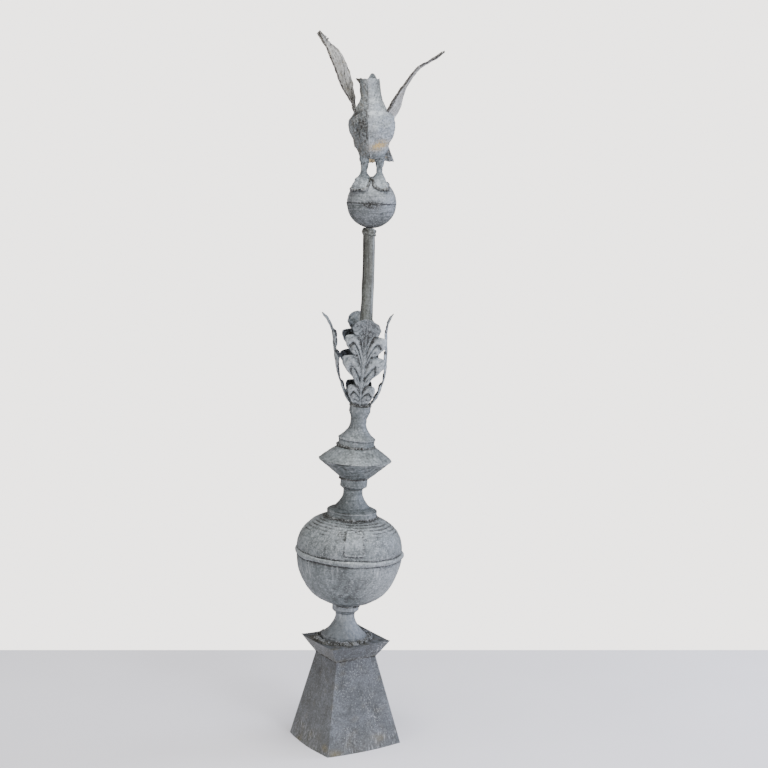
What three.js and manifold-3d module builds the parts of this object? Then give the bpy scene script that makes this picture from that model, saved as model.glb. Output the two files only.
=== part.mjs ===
// Roof finial of old sheet zinc: a tapered square pedestal with a flared cap, a leaning shaft of turned
// necks, a globe and a sharp-edged disc, a calyx of four acanthus leaves round a bowed stem, and an orb
// on which a bird stands with raised wings. The bird's head is broken off and its neck is an open tube.
// Millimetres, +Z up, origin at the centre of the pedestal's underside, pedestal faces square to X and Y.
import * as THREE from "three";
import { mergeVertices } from "three/addons/utils/BufferGeometryUtils.js";
import Module from "manifold-3d";

const wasm = await Module();
wasm.setup();

const radians = THREE.MathUtils.degToRad;

// Joints between pieces, and the number of flats round a turned piece.
const seam = 0.3;
const flats = 24;

// Square pedestal and its flared cap: widths across the flats. The pedestal's sides belly out toward the
// foot, and its top and the cap stand a little off the foot's centre.
const pedestalFoot = 188;
const pedestalShoulder = 101;
const pedestalHeight = 200;
const pedestalBelly = 8;
const pedestalTop = new THREE.Vector2(2.6, -1.5);
const capRim = 150;
const capHeight = 38;

// The shaft is turned on the pedestal, set a little off its centre, and leans to its own right.
const shaftTurn = radians(-30);
const shaftOffset = -1;
const shaftLean = radians(3.75);

// The crown, from the upper neck to the bird, is bent over a little further on the disc.
const crownTilt = radians(2.4);

// Ring of old solder round the foot of the shaft.
const solderWidth = 17;
const solderHeight = 8;

// Turned necks, from the foot up: a banded foot, a shoulder, a cove to the waist, a chamfer and a collar.
const lowerNeck = {
  footRadius: 52,
  footHeight: 9,
  shoulderRadius: 50,
  shoulderRise: 1,
  waistRadius: 22.2,
  waistRise: 44,
  covePower: 1.8,
  chamferRise: 7,
  collarRadius: 30.2,
  collarHeight: 13,
  height: 81,
};
const middleNeck = {
  footRadius: 57,
  footHeight: 14,
  shoulderRadius: 40,
  shoulderRise: 7,
  waistRadius: 21.5,
  waistRise: 37,
  covePower: 2,
  chamferRise: 6,
  collarRadius: 30.3,
  collarHeight: 19,
  height: 88,
};
const upperNeck = {
  footRadius: 42,
  footHeight: 18,
  shoulderRadius: 33.5,
  shoulderRise: 7,
  waistRadius: 18.3,
  waistRise: 28,
  covePower: 2,
  chamferRise: 14,
  collarRadius: 24,
  collarHeight: 13,
  height: 91,
};

// Globe: a deep lower bowl that ends in a half-round bead, and a fuller upper half on it.
const globeRadius = 119.5;
const globeDepth = 119;
const globeRise = 84;
const globeFullness = 2.4;
const beadHeight = 12;
const beadProud = 4.6;
const seatLip = 1.5;

// Sharp-edged disc of two shallow cones.
const discRadius = 82;
const discDepth = 41.5;
const discRise = 31;
const discEdge = 0.8;

// Stem: a tapered tube bent back to the left as it climbs, with a collar under the orb.
const stemFootRadius = 15.5;
const stemTopRadius = 13;
const stemLength = 397;
const stemLowBend = -5.5;
const stemHighBend = -7.3;
const stemTopShift = -22.5;
const stemSides = 16;
const stemSteps = 8;
const stemCollarHeight = 13;
const stemCollarWall = 2.6;

// Orb of two hemispheres, and the bird on it, each tilted back against the lean below.
const orbRadius = 55;
const orbTilt = radians(-3.65);
const birdTilt = radians(-2);

// Acanthus leaf: its height, where its foot stands, how its spine bulges and its tip turns out.
const leafHeight = 204;
const leafThickness = 2.4;
const leafBulge = 28;
const leafFlare = 37;
const leafCurl = 7;
const leafLift = 0.2;
const leafFold = 4;
const leafRib = 2.2;
const leafClearAngle = radians(43);
const leafRows = 24;
const leafColumns = 6;
// Each lobe pair: where it starts and ends up the leaf, as shares of its height, and how wide the leaf is
// at the notch below it and at the lobes, from the midrib.
const leafLobes = [
  { from: 0.03, to: 0.26, notch: 18, reach: 31 },
  { from: 0.26, to: 0.6, notch: 14, reach: 49 },
  { from: 0.6, to: 0.845, notch: 20, reach: 47 },
  { from: 0.845, to: 1.01, notch: 20, reach: 31 },
];
// The four leaves: the way each faces round the shaft, and how far its tip is bent open and aside.
const leaves = [
  { name: "acanthus_leaf_front", faces: -94, open: 24, aside: 0 },
  { name: "acanthus_leaf_right", faces: 0, open: -6, aside: 0 },
  { name: "acanthus_leaf_back", faces: 103, open: 4, aside: 12 },
  { name: "acanthus_leaf_left", faces: 180, open: 48, aside: 0 },
];

// Bird: the stations of its hollow body from belly to broken neck, as shares of the body's height and of
// its greatest half width. Front and back are the depths before and behind its own axis.
const bodyHeight = 172;
const bodyHalfWidth = 52;
const bodyStart = 42;
const bodyTurn = radians(-8);
const neckLean = -8;
const bodyWall = 2.2;
const bodySides = 22;
const bodyRings = 16;
const cavityRings = 6;
const cavityFloor = 0.42;
const keelProud = 4;
const keelSpread = 0.33;
const bodyStations = [
  { at: 0, half: 0.4, front: 0.22, back: 0.45 },
  { at: 0.04, half: 0.56, front: 0.42, back: 0.75 },
  { at: 0.16, half: 0.7, front: 0.72, back: 1.12 },
  { at: 0.28, half: 0.86, front: 0.86, back: 1.16 },
  { at: 0.42, half: 1, front: 0.92, back: 0.98 },
  { at: 0.52, half: 0.9, front: 0.86, back: 0.8 },
  { at: 0.62, half: 0.68, front: 0.7, back: 0.62 },
  { at: 0.71, half: 0.48, front: 0.54, back: 0.5 },
  { at: 0.82, half: 0.43, front: 0.46, back: 0.43 },
  { at: 0.92, half: 0.42, front: 0.45, back: 0.43 },
  { at: 1, half: 0.46, front: 0.46, back: 0.45 },
];
const rimPeak = 14;
const rimPeakAt = radians(78);
const rimPeakSpread = 0.42;
const rimTear = 6;

// Legs, from thigh to the skirt of the foot, in millimetres from the top of the orb. Out and ahead place
// the middle of each section.
const legStations = [
  { z: 56, out: 17, ahead: -4, half: 11, deep: 13 },
  { z: 42, out: 17, ahead: -1, half: 10.5, deep: 11 },
  { z: 28, out: 16.5, ahead: 0, half: 7.6, deep: 8 },
  { z: 15, out: 17, ahead: 2, half: 6, deep: 6.2 },
  { z: 7, out: 18, ahead: 5, half: 9, deep: 9 },
  { z: -4, out: 19.5, ahead: 13, half: 15, deep: 15 },
  { z: -16, out: 20.5, ahead: 19, half: 19, deep: 20 },
  { z: -25, out: 20.5, ahead: 21, half: 19.5, deep: 23 },
];
const legSides = 10;
const legSquareness = 0.75;

// Each foot is widened and drawn in from flareTop down to flareFoot. Side is -1 for the bird's right.
const flareTop = 15;
const flareFoot = -4;
const legs = [
  { name: "leg_right", side: -1, spread: 1.21, inward: 1.5 },
  { name: "leg_left", side: 1, spread: 1.03, inward: 4.5 },
];

// Wings and tail are single sheets. Each edge is listed from root to tip: out to the side, back, and up.
const featherSheet = 2.6;
const rightWing = {
  name: "wing_right",
  front: [
    [-30, -24, 128],
    [-42, -36, 160],
    [-57, -44, 190],
    [-79, -44, 234],
    [-96, -34, 274],
    [-114, -14, 312],
  ],
  rear: [
    [-28, 34, 128],
    [-39, 46, 166],
    [-44, 50, 202],
    [-54, 44, 242],
    [-76, 26, 276],
    [-116, -8, 316],
  ],
  camber: -7,
};
const leftWing = {
  name: "wing_left",
  front: [
    [22, -18, 132],
    [42, -24, 163],
    [65, -20, 199],
    [95, -2, 237],
    [124, 14, 255],
    [156, 32, 275],
  ],
  rear: [
    [42, 60, 122],
    [60, 77, 154],
    [72, 83, 197],
    [96, 80, 239],
    [125, 64, 258],
    [157, 38, 278],
  ],
  camber: 3.5,
};
const tail = {
  name: "tail",
  front: [
    [-20, 30, 88],
    [-24, 70, 74],
    [-26, 115, 54],
    [-27, 165, 31],
    [-25, 178, 28],
  ],
  rear: [
    [24, 30, 92],
    [31, 70, 80],
    [40, 115, 62],
    [49, 165, 43],
    [50, 178, 40],
  ],
  camber: 5,
};
const wingRows = 11;
const wingColumns = 5;

// Weathered zinc, a darker browner stem and dull solder.
const zinc = (color, roughness) =>
  new THREE.MeshStandardMaterial({ color, roughness, metalness: 0.35 });
const greyZinc = zinc(0x8f9598, 0.62);
const darkZinc = zinc(0x6f7377, 0.68);
const paleZinc = zinc(0xa7acb0, 0.6);
const stemZinc = zinc(0x6e6e66, 0.6);
const solder = zinc(0x77756c, 0.8);

// Joins rings of points, each counter-clockwise seen from the end they climb to, into one closed skin.
function ringSolid(rings) {
  const count = rings[0].length;
  const points = rings.flat();
  const middle = (ring) =>
    ring.reduce((sum, p) => sum.add(p), new THREE.Vector3()).divideScalar(count);
  const first = points.push(middle(rings[0])) - 1;
  const last = points.push(middle(rings[rings.length - 1])) - 1;
  const faces = [];
  for (let j = 0; j < count; j++) {
    const k = (j + 1) % count;
    faces.push(first, k, j);
    for (let i = 0; i + 1 < rings.length; i++) {
      const low = i * count;
      const high = low + count;
      faces.push(low + j, low + k, high + k, low + j, high + k, high + j);
    }
    const top = (rings.length - 1) * count;
    faces.push(last, top + j, top + k);
  }
  return new THREE.BufferGeometry().setFromPoints(points).setIndex(faces);
}

// A sheet of even thickness: face(u, v, side) gives its two faces for side 1 and -1, u across and v along.
function sheetSolid(face, columns, rows) {
  const points = [];
  const index = (i, j, back) => (i * (columns + 1) + j) * 2 + back;
  for (let i = 0; i <= rows; i++) {
    for (let j = 0; j <= columns; j++) {
      points.push(face((2 * j) / columns - 1, i / rows, 1));
      points.push(face((2 * j) / columns - 1, i / rows, -1));
    }
  }
  const faces = [];
  const quad = (a, b, c, d) => faces.push(a, b, c, a, c, d);
  for (let i = 0; i < rows; i++) {
    for (let j = 0; j < columns; j++) {
      quad(index(i, j, 0), index(i, j + 1, 0), index(i + 1, j + 1, 0), index(i + 1, j, 0));
      quad(index(i, j, 1), index(i + 1, j, 1), index(i + 1, j + 1, 1), index(i, j + 1, 1));
    }
    quad(index(i, 0, 1), index(i, 0, 0), index(i + 1, 0, 0), index(i + 1, 0, 1));
    quad(index(i, columns, 0), index(i, columns, 1), index(i + 1, columns, 1), index(i + 1, columns, 0));
  }
  for (let j = 0; j < columns; j++) {
    quad(index(0, j, 0), index(0, j, 1), index(0, j + 1, 1), index(0, j + 1, 0));
    quad(index(rows, j, 1), index(rows, j, 0), index(rows, j + 1, 0), index(rows, j + 1, 1));
  }
  return new THREE.BufferGeometry().setFromPoints(points).setIndex(faces);
}

// A closed mesh as a solid for cutting, and the solid back as a mesh.
function toSolid(geometry) {
  const bare = geometry.index ? geometry.toNonIndexed() : geometry.clone();
  bare.deleteAttribute("normal");
  bare.deleteAttribute("uv");
  const merged = mergeVertices(bare, 1e-3);
  return new wasm.Manifold(
    new wasm.Mesh({
      numProp: 3,
      vertProperties: merged.attributes.position.array,
      triVerts: new Uint32Array(merged.index.array),
    }),
  );
}

function toGeometry(solid) {
  const mesh = solid.getMesh();
  return new THREE.BufferGeometry()
    .setAttribute("position", new THREE.BufferAttribute(mesh.vertProperties, 3))
    .setIndex(new THREE.BufferAttribute(mesh.triVerts, 1));
}

// The biggest piece of a solid, for a sheet whose root a cut has left in two.
function mainPiece(solid) {
  const pieces = solid.decompose();
  return pieces.reduce((most, piece) => (piece.volume() > most.volume() ? piece : most));
}

// A turned piece from its profile of [radius, height] pairs, foot on Z = 0.
function turned(profile) {
  const points = profile.map(([radius, height]) => new THREE.Vector2(radius, height));
  return new THREE.LatheGeometry(points, flats).rotateX(Math.PI / 2);
}

// Heights from low to high at which a profile is sampled, both ends included.
function samples(low, high, steps) {
  return Array.from({ length: steps + 1 }, (_, i) => low + ((high - low) * i) / steps);
}

function neckProfile(neck, below = 0) {
  const coveFoot = neck.footHeight + neck.shoulderRise;
  const waistAt = coveFoot + neck.waistRise;
  const collarFoot = neck.height - neck.collarHeight;
  const cove = samples(coveFoot, waistAt, 5).map((height) => {
    const left = (waistAt - height) / neck.waistRise;
    return [
      neck.waistRadius + (neck.shoulderRadius - neck.waistRadius) * left ** neck.covePower,
      height,
    ];
  });
  const chamferFoot = Math.max(collarFoot - neck.chamferRise, waistAt + seam);
  return [
    [0, -below],
    [neck.footRadius, -below],
    [neck.footRadius, neck.footHeight],
    ...cove,
    [neck.waistRadius, chamferFoot],
    [neck.collarRadius, collarFoot],
    [neck.collarRadius, neck.height],
    [0, neck.height],
  ];
}

// A level square ring about a middle, each of its sides a parabola that bellies out.
function squareRing(width, belly, middle, height, sideSteps) {
  return samples(0, 4 * sideSteps - 1, 4 * sideSteps - 1).map((j) => {
    const along = (2 * (j % sideSteps)) / sideSteps - 1;
    const point = new THREE.Vector2((along * width) / 2, -width / 2 - belly * (1 - along * along))
      .rotateAround(new THREE.Vector2(), (Math.floor(j / sideSteps) * Math.PI) / 2)
      .add(middle);
    return new THREE.Vector3(point.x, point.y, height);
  });
}

function pedestal() {
  const rings = [0, 0.25, 0.5, 1].map((share) =>
    squareRing(
      THREE.MathUtils.lerp(pedestalFoot, pedestalShoulder, share),
      pedestalBelly * (1 - share) ** 2,
      pedestalTop.clone().multiplyScalar(share),
      pedestalHeight * share,
      4,
    ),
  );
  return ringSolid(rings);
}

function pedestalCap() {
  return ringSolid([
    squareRing(pedestalShoulder, 0, pedestalTop, 0, 1),
    squareRing(capRim, 0, pedestalTop, capHeight, 1),
  ]);
}

// The ring's bore clears the leaning foot of the shaft all round.
function solderRing() {
  const bore = lowerNeck.footRadius / Math.cos(shaftLean) + solderHeight * Math.tan(shaftLean) + 2 * seam;
  return turned([
    [bore, 0],
    [bore + solderWidth, 0],
    [bore + 0.8 * solderWidth, 0.6 * solderHeight],
    [bore + 0.35 * solderWidth, solderHeight],
    [bore, 0.8 * solderHeight],
    [bore, 0],
  ]);
}

// A neck that leans has its foot cut to the plane that it stands on.
function neckOnSlope(neck, lean) {
  const reach = neck.footRadius * Math.tan(lean) + 1;
  const span = 4 * neck.footRadius;
  const ground = new THREE.BoxGeometry(span, span, span)
    .translate(0, 0, -span / 2)
    .rotateY(-lean);
  return toGeometry(toSolid(turned(neckProfile(neck, reach))).subtract(toSolid(ground)));
}

// The lower bowl rests on its neck's collar, and its rim is rolled out into the bead.
const globeSeat = globeDepth * Math.sqrt(1 - ((lowerNeck.collarRadius + seatLip) / globeRadius) ** 2);
const globeLowerHeight = globeSeat + beadHeight;

function globeLowerHalf() {
  const bowl = samples(0, globeSeat, 7).map((height) => [
    globeRadius * Math.sqrt(1 - ((globeSeat - height) / globeDepth) ** 2),
    height,
  ]);
  const bead = [0.15, 0.5, 0.85].map((share) => [
    globeRadius + beadProud * Math.sin(Math.PI * share),
    globeSeat + beadHeight * share,
  ]);
  return turned([[0, 0], ...bowl, ...bead, [globeRadius - 1, globeLowerHeight], [0, globeLowerHeight]]);
}

const globeTopRadius = middleNeck.footRadius + seatLip;
const globeUpperHeight =
  globeRise * (1 - (globeTopRadius / globeRadius) ** globeFullness) ** (1 / globeFullness);

function globeUpperHalf() {
  const dome = samples(0, globeUpperHeight, 7).map((height) => [
    globeRadius * (1 - (height / globeRise) ** globeFullness) ** (1 / globeFullness),
    height,
  ]);
  return turned([[0, 0], ...dome, [0, globeUpperHeight]]);
}

function discLowerCone() {
  return turned([
    [0, 0],
    [middleNeck.collarRadius + seatLip, 0],
    [discRadius, discDepth - discEdge],
    [discRadius, discDepth],
    [0, discDepth],
  ]);
}

function discUpperCone() {
  return turned([
    [0, 0],
    [discRadius, 0],
    [discRadius, discEdge],
    [upperNeck.footRadius + seatLip, discRise],
    [0, discRise],
  ]);
}

// The stem's centreline: its sideways shift is a cubic of its height.
const stemPath = new THREE.CubicBezierCurve3(
  new THREE.Vector3(0, 0, 0),
  new THREE.Vector3(stemLowBend, 0, stemLength / 3),
  new THREE.Vector3(stemHighBend, 0, (2 * stemLength) / 3),
  new THREE.Vector3(stemTopShift, 0, stemLength),
);

function stem() {
  const rings = samples(0, 1, stemSteps).map((share) => {
    const middle = stemPath.getPoint(share);
    const radius = THREE.MathUtils.lerp(stemFootRadius, stemTopRadius, share);
    return samples(0, stemSides - 1, stemSides - 1).map((j) => {
      const angle = (2 * Math.PI * j) / stemSides;
      return new THREE.Vector3(
        middle.x + radius * Math.cos(angle),
        radius * Math.sin(angle),
        middle.z,
      );
    });
  });
  return ringSolid(rings);
}

function stemCollar() {
  const share = 1 - stemCollarHeight / stemLength;
  const bore =
    THREE.MathUtils.lerp(stemFootRadius, stemTopRadius, share) / Math.cos(Math.PI / flats) + 2 * seam;
  return turned([
    [bore, 0],
    [bore + 0.6 * stemCollarWall, 0],
    [bore + stemCollarWall, 0.5 * stemCollarHeight],
    [bore + stemCollarWall, stemCollarHeight],
    [bore, stemCollarHeight],
    [bore, 0],
  ]);
}

function orbHalf(upper) {
  const arc = samples(0, Math.PI / 2, 7).map((angle) => [
    orbRadius * Math.cos(angle),
    orbRadius * Math.sin(angle),
  ]);
  if (upper) return turned([[0, seam / 2], [orbRadius, seam / 2], ...arc.slice(1)]);
  const under = arc.slice(1).map(([radius, height]) => [radius, -height]);
  return turned([...under.reverse(), [orbRadius, -seam / 2], [0, -seam / 2]]);
}

// Spine of a leaf: its distance from the shaft's axis at a share of its height.
function leafSpine(share, open) {
  const foot = upperNeck.collarRadius - leafThickness;
  const risen = Math.max(0, share);
  return (
    foot +
    leafBulge * Math.sin(Math.PI * risen ** 0.85) +
    leafFlare * risen ** 6 +
    open * risen ** 1.5
  );
}

// The lobe pair at a share of the leaf's height, and how far up that pair the share lies.
function lobeAt(share) {
  const lobe = leafLobes.find((each) => share < each.to) ?? leafLobes[leafLobes.length - 1];
  const within = Math.max(0, (share - lobe.from) / (lobe.to - lobe.from));
  return { lobe, within };
}

// Half width of a leaf: each lobe widens slowly from its notch and closes fast above its point.
function leafHalfWidth(share) {
  const { lobe, within } = lobeAt(share);
  const swell = Math.max(0, Math.sin(Math.PI * within ** 1.6)) ** 0.8;
  return lobe.notch + (lobe.reach - lobe.notch) * swell;
}

// The midrib stands proud, and each lobe is hollowed between it and the edge.
function leafRelief(across, edgeShare) {
  const hollow = Math.sin(Math.PI * Math.abs(across)) * Math.sin(Math.PI * lobeAt(edgeShare).within);
  return leafRib * (1 - Math.min(1, 3 * Math.abs(across))) - leafFold * hollow;
}

// Lobes climb as they spread, so the rows of the leaf rise towards its edges. Its width is held inside
// the quarter of the calyx that is the leaf's own.
function acanthusLeaf({ open, aside }) {
  const height = Math.sqrt(leafHeight ** 2 - open ** 2);
  return sheetSolid(
    (across, along, side) => {
      const lift = leafLift * Math.sin(Math.PI * along);
      const share = along + lift * Math.abs(across) ** 1.6;
      const spine = leafSpine(share, open);
      const slope = (leafSpine(share + 0.01, open) - leafSpine(share - 0.01, open)) / (0.02 * height);
      const room = (spine - leafCurl) * Math.tan(leafClearAngle);
      const halfWidth = Math.min(leafHalfWidth(along + lift), room);
      const outward = leafRelief(across, along + lift) + (side * leafThickness) / 2;
      const curl = leafCurl * (halfWidth / leafLobes[1].reach) ** 2 * across * across;
      const length = Math.hypot(1, slope);
      return new THREE.Vector3(
        spine - curl + outward / length,
        across * halfWidth + aside * Math.max(0, share) ** 4,
        share * height - (outward * slope) / length + leafThickness,
      );
    },
    leafColumns,
    leafRows,
  );
}

// Runs smoothly through listed numbers at even steps.
function through(values, share) {
  const curve = new THREE.CatmullRomCurve3(values.map((v) => new THREE.Vector3(...v)));
  return curve.getPoint(share);
}

// Half width, front and back depth of the body at a share of its height, run smoothly through its stations.
const bodySizes = new THREE.CatmullRomCurve3(
  bodyStations.map((station) => new THREE.Vector3(station.half, station.front, station.back)),
);

function bodySizeAt(share) {
  const next = Math.max(1, bodyStations.findIndex((station) => station.at >= share));
  const low = bodyStations[next - 1].at;
  const within = (share - low) / (bodyStations[next].at - low);
  return bodySizes.getPoint((next - 1 + within) / (bodyStations.length - 1));
}

// One ring of the body at a share of its height, with its own front keel, grown or shrunk by a margin.
function bodyRing(share, margin, rimRise) {
  const size = bodySizeAt(share).multiplyScalar(bodyHalfWidth).addScalar(margin);
  return samples(0, bodySides - 1, bodySides - 1).map((j) => {
    const angle = (2 * Math.PI * j) / bodySides;
    const front = Math.sin(angle) < 0;
    const fromKeel = Math.abs(angle - 1.5 * Math.PI);
    const keel = keelProud * Math.exp(-((fromKeel / keelSpread) ** 2));
    const fromPeak = Math.abs(angle - rimPeakAt);
    const peak = rimPeak * Math.exp(-((fromPeak / rimPeakSpread) ** 2));
    const tear = rimTear * Math.exp(-(((angle - Math.PI) / rimPeakSpread) ** 2));
    return new THREE.Vector3(
      size.x * Math.cos(angle) - rimRise * tear + neckLean * share ** 3,
      (front ? size.y + keel : size.z) * Math.sin(angle),
      bodyStart + bodyHeight * share + rimRise * peak,
    );
  });
}

// The closed outer form of the body, grown by a margin, for seating legs, wings and tail.
function bodyForm(margin) {
  const rings = samples(0, 1, bodyRings).map((share) => bodyRing(share, margin, share === 1 ? 1 : 0));
  return toSolid(ringSolid(rings).rotateZ(bodyTurn));
}

// The body is an open shell from its broken neck down to the breast.
function birdBody() {
  const outside = samples(0, 1, bodyRings).map((share) => bodyRing(share, 0, share === 1 ? 1 : 0));
  const inside = samples(1, cavityFloor, cavityRings).map((share) =>
    bodyRing(share, -bodyWall, share === 1 ? 1 : 0),
  );
  return ringSolid([...outside, ...inside]).rotateZ(bodyTurn);
}

// Turns a circle's sine or cosine into that of a rounded square.
function squared(value) {
  return Math.sign(value) * Math.abs(value) ** legSquareness;
}

// A leg stands on the orb, reaches up to the belly and stays on its own side of the middle.
function leg({ side, spread, inward }) {
  const rings = [...legStations].reverse().map((station) => {
    const flared = THREE.MathUtils.clamp((flareTop - station.z) / (flareTop - flareFoot), 0, 1);
    const half = station.half * THREE.MathUtils.lerp(1, spread, flared);
    return samples(0, legSides - 1, legSides - 1).map((j) => {
      const angle = (2 * Math.PI * j) / legSides;
      return new THREE.Vector3(
        side * (station.out - inward * flared) + half * squared(Math.cos(angle)),
        -station.ahead + station.deep * squared(Math.sin(angle)),
        station.z,
      );
    });
  });
  const orb = new THREE.SphereGeometry(orbRadius + seam, 32, 24).translate(0, 0, -orbRadius);
  const own = toSolid(ringSolid(rings)).trimByPlane([side, 0, 0], seam / 2);
  return toGeometry(mainPiece(own.subtract(toSolid(orb)).subtract(bodyForm(seam))));
}

// A cambered sheet between two edges, cut where it meets the body.
function feathered(sheet) {
  const face = (across, along, side) => {
    const front = through(sheet.front, along);
    const rear = through(sheet.rear, along);
    const chord = rear.clone().sub(front);
    const ahead = through(sheet.front, Math.min(1, along + 0.02));
    const behind = through(sheet.front, Math.max(0, along - 0.02));
    const normal = chord.clone().cross(ahead.sub(behind)).normalize();
    const share = (across + 1) / 2;
    const lift = sheet.camber * 4 * share * (1 - share) + (side * featherSheet) / 2;
    return front.addScaledVector(chord, share).addScaledVector(normal, lift);
  };
  const whole = toSolid(sheetSolid(face, wingColumns, wingRows));
  return toGeometry(mainPiece(whole.subtract(bodyForm(seam))));
}

// A named piece in its group, at a height along the group's own axis.
function piece(group, name, geometry, material, height = 0) {
  const mesh = new THREE.Mesh(geometry, material);
  mesh.name = name;
  mesh.position.z = height;
  group.add(mesh);
  return mesh;
}

const finial = new THREE.Group();
piece(finial, "pedestal", pedestal(), darkZinc);
piece(finial, "pedestal_cap", pedestalCap(), darkZinc, pedestalHeight + seam);

// The shaft's turned pieces stand on each other, each a seam above the one below.
const shaftFoot = pedestalHeight + seam + capHeight + seam;
const shaft = new THREE.Group();
shaft.position.set(
  shaftOffset * Math.cos(shaftTurn),
  shaftOffset * Math.sin(shaftTurn),
  shaftFoot,
);
shaft.rotation.set(0, shaftLean, shaftTurn, "ZYX");
finial.add(shaft);

const ring = piece(finial, "solder_ring", solderRing(), solder, shaftFoot);
ring.position.x = shaft.position.x;
ring.position.y = shaft.position.y;

const stack = [
  ["lower_neck", neckOnSlope(lowerNeck, shaftLean), paleZinc, lowerNeck.height],
  ["globe_lower_half", globeLowerHalf(), greyZinc, globeLowerHeight],
  ["globe_upper_half", globeUpperHalf(), greyZinc, globeUpperHeight],
  ["middle_neck", turned(neckProfile(middleNeck)), greyZinc, middleNeck.height],
  ["disc_lower_cone", discLowerCone(), greyZinc, discDepth],
  ["disc_upper_cone", discUpperCone(), greyZinc, discRise],
];
let level = 0;
for (const [name, geometry, material, height] of stack) {
  piece(shaft, name, geometry, material, level);
  level += height + seam;
}

// The crown's foot is cut to stand flat on the disc, as the shaft's is on the cap.
const crown = new THREE.Group();
crown.position.z = level;
crown.rotation.y = crownTilt;
shaft.add(crown);
piece(crown, "upper_neck", neckOnSlope(upperNeck, crownTilt), greyZinc);

const calyxLevel = upperNeck.height + seam;
for (const leaf of leaves) {
  const mesh = piece(crown, leaf.name, acanthusLeaf(leaf), paleZinc, calyxLevel);
  mesh.rotation.z = radians(leaf.faces);
}

piece(crown, "stem", stem(), stemZinc, calyxLevel);
const collar = piece(crown, "stem_collar", stemCollar(), stemZinc);
const collarShare = 1 - (stemCollarHeight + 3 * seam + orbRadius * 0.03) / stemLength;
collar.position.copy(stemPath.getPoint(collarShare));
collar.position.z += calyxLevel;
collar.quaternion.setFromUnitVectors(
  new THREE.Vector3(0, 0, 1),
  stemPath.getTangent(collarShare),
);

// The orb rests on the end of the stem.
const orb = new THREE.Group();
orb.position.set(stemTopShift, 0, calyxLevel + stemLength + seam + orbRadius);
orb.rotation.y = orbTilt;
crown.add(orb);
piece(orb, "orb_lower_half", orbHalf(false), greyZinc);
piece(orb, "orb_upper_half", orbHalf(true), greyZinc);

// The bird stands on the top of the orb.
const bird = new THREE.Group();
bird.rotation.y = birdTilt;
orb.add(bird);
const perch = orbRadius + seam;
for (const each of legs) {
  piece(bird, each.name, leg(each), paleZinc, perch);
}
piece(bird, "bird_body", birdBody(), paleZinc, perch);
for (const sheet of [rightWing, leftWing, tail]) {
  piece(bird, sheet.name, feathered(sheet), paleZinc, perch);
}

export default finial;
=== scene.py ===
"""Looks of an old sheet-zinc roof finial, in metres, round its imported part.

A tapered pedestal carries a leaning shaft of turned necks, a globe and a sharp-edged disc, a calyx of
acanthus leaves round a bent stem, and an orb on which a bird with a broken neck spreads its wings.
Each sub-assembly is a class that holds its sizes and works out its surfaces as arrays of points.
"""

import logging
import math
from dataclasses import dataclass, field
from enum import Enum

import bmesh
import bpy
import numpy as np
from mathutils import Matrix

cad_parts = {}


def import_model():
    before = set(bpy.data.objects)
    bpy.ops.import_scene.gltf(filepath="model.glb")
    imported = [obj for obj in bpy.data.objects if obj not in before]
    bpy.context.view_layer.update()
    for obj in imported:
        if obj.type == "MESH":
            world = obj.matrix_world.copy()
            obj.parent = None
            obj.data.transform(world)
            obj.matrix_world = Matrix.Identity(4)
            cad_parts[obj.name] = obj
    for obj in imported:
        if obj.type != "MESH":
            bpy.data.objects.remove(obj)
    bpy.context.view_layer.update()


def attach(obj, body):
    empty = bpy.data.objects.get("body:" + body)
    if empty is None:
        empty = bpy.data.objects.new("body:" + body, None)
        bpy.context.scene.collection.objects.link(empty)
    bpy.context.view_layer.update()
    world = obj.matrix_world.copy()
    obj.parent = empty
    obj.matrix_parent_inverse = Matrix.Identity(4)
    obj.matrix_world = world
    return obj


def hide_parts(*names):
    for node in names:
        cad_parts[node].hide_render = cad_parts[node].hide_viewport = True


log = logging.getLogger("roof_finial")

# What every piece rides on, the gap left between two pieces that are soldered together, and how much of
# a flat end is walked in from its rim. An edge sharper than SHARP_EDGE is shaded as a crease. Lengths are
# in metres and angles in radians.
ROOT = "root"
SEAM = 0.0003
FULL_TURN = 2 * math.pi
FLAT_RIM = 0.004
SHARP_EDGE = math.radians(38)
# The marks that a surface carries for its finish to read.
MARKS = ("hollow", "wear", "run", "stain", "chalk", "downward_shade")


class Half(Enum):
    """The two halves that a globe or an orb is soldered from."""

    LOWER = "lower"
    UPPER = "upper"


class Side(Enum):
    """The bird's own sides, as signs of its X."""

    RIGHT = -1
    LEFT = 1


def about_z(angle: float) -> np.ndarray:
    """Returns the matrix that turns points by an angle about Z."""
    c, s = math.cos(angle), math.sin(angle)
    return np.array([[c, -s, 0], [s, c, 0], [0, 0, 1]])


def about_y(angle: float) -> np.ndarray:
    """Returns the matrix that turns points by an angle about Y, which leans Z toward X."""
    c, s = math.cos(angle), math.sin(angle)
    return np.array([[c, 0, s], [0, 1, 0], [-s, 0, c]])


def round_angles(count: int) -> np.ndarray:
    """Returns angles at even steps once round."""
    return np.arange(count) * FULL_TURN / count


@dataclass(frozen=True)
class Place:
    """Where a sub-assembly stands: how it is turned, and the point that its own origin takes."""

    turn: np.ndarray = field(default_factory=lambda: np.eye(3))
    origin: np.ndarray = field(default_factory=lambda: np.zeros(3))

    def inner(self, shift: tuple[float, float, float], turn: np.ndarray | None = None) -> "Place":
        """A place given in this one.

        Args:
            shift: The inner origin, in this place's own axes.
            turn: The inner turn, or none.

        Returns:
            The same place in the object's frame.
        """
        own = np.eye(3) if turn is None else turn
        return Place(self.turn @ own, self.origin + self.turn @ np.array(shift))

    def put(self, points: np.ndarray) -> np.ndarray:
        """Returns local points in the object's frame."""
        return points @ self.turn.T + self.origin


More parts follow.
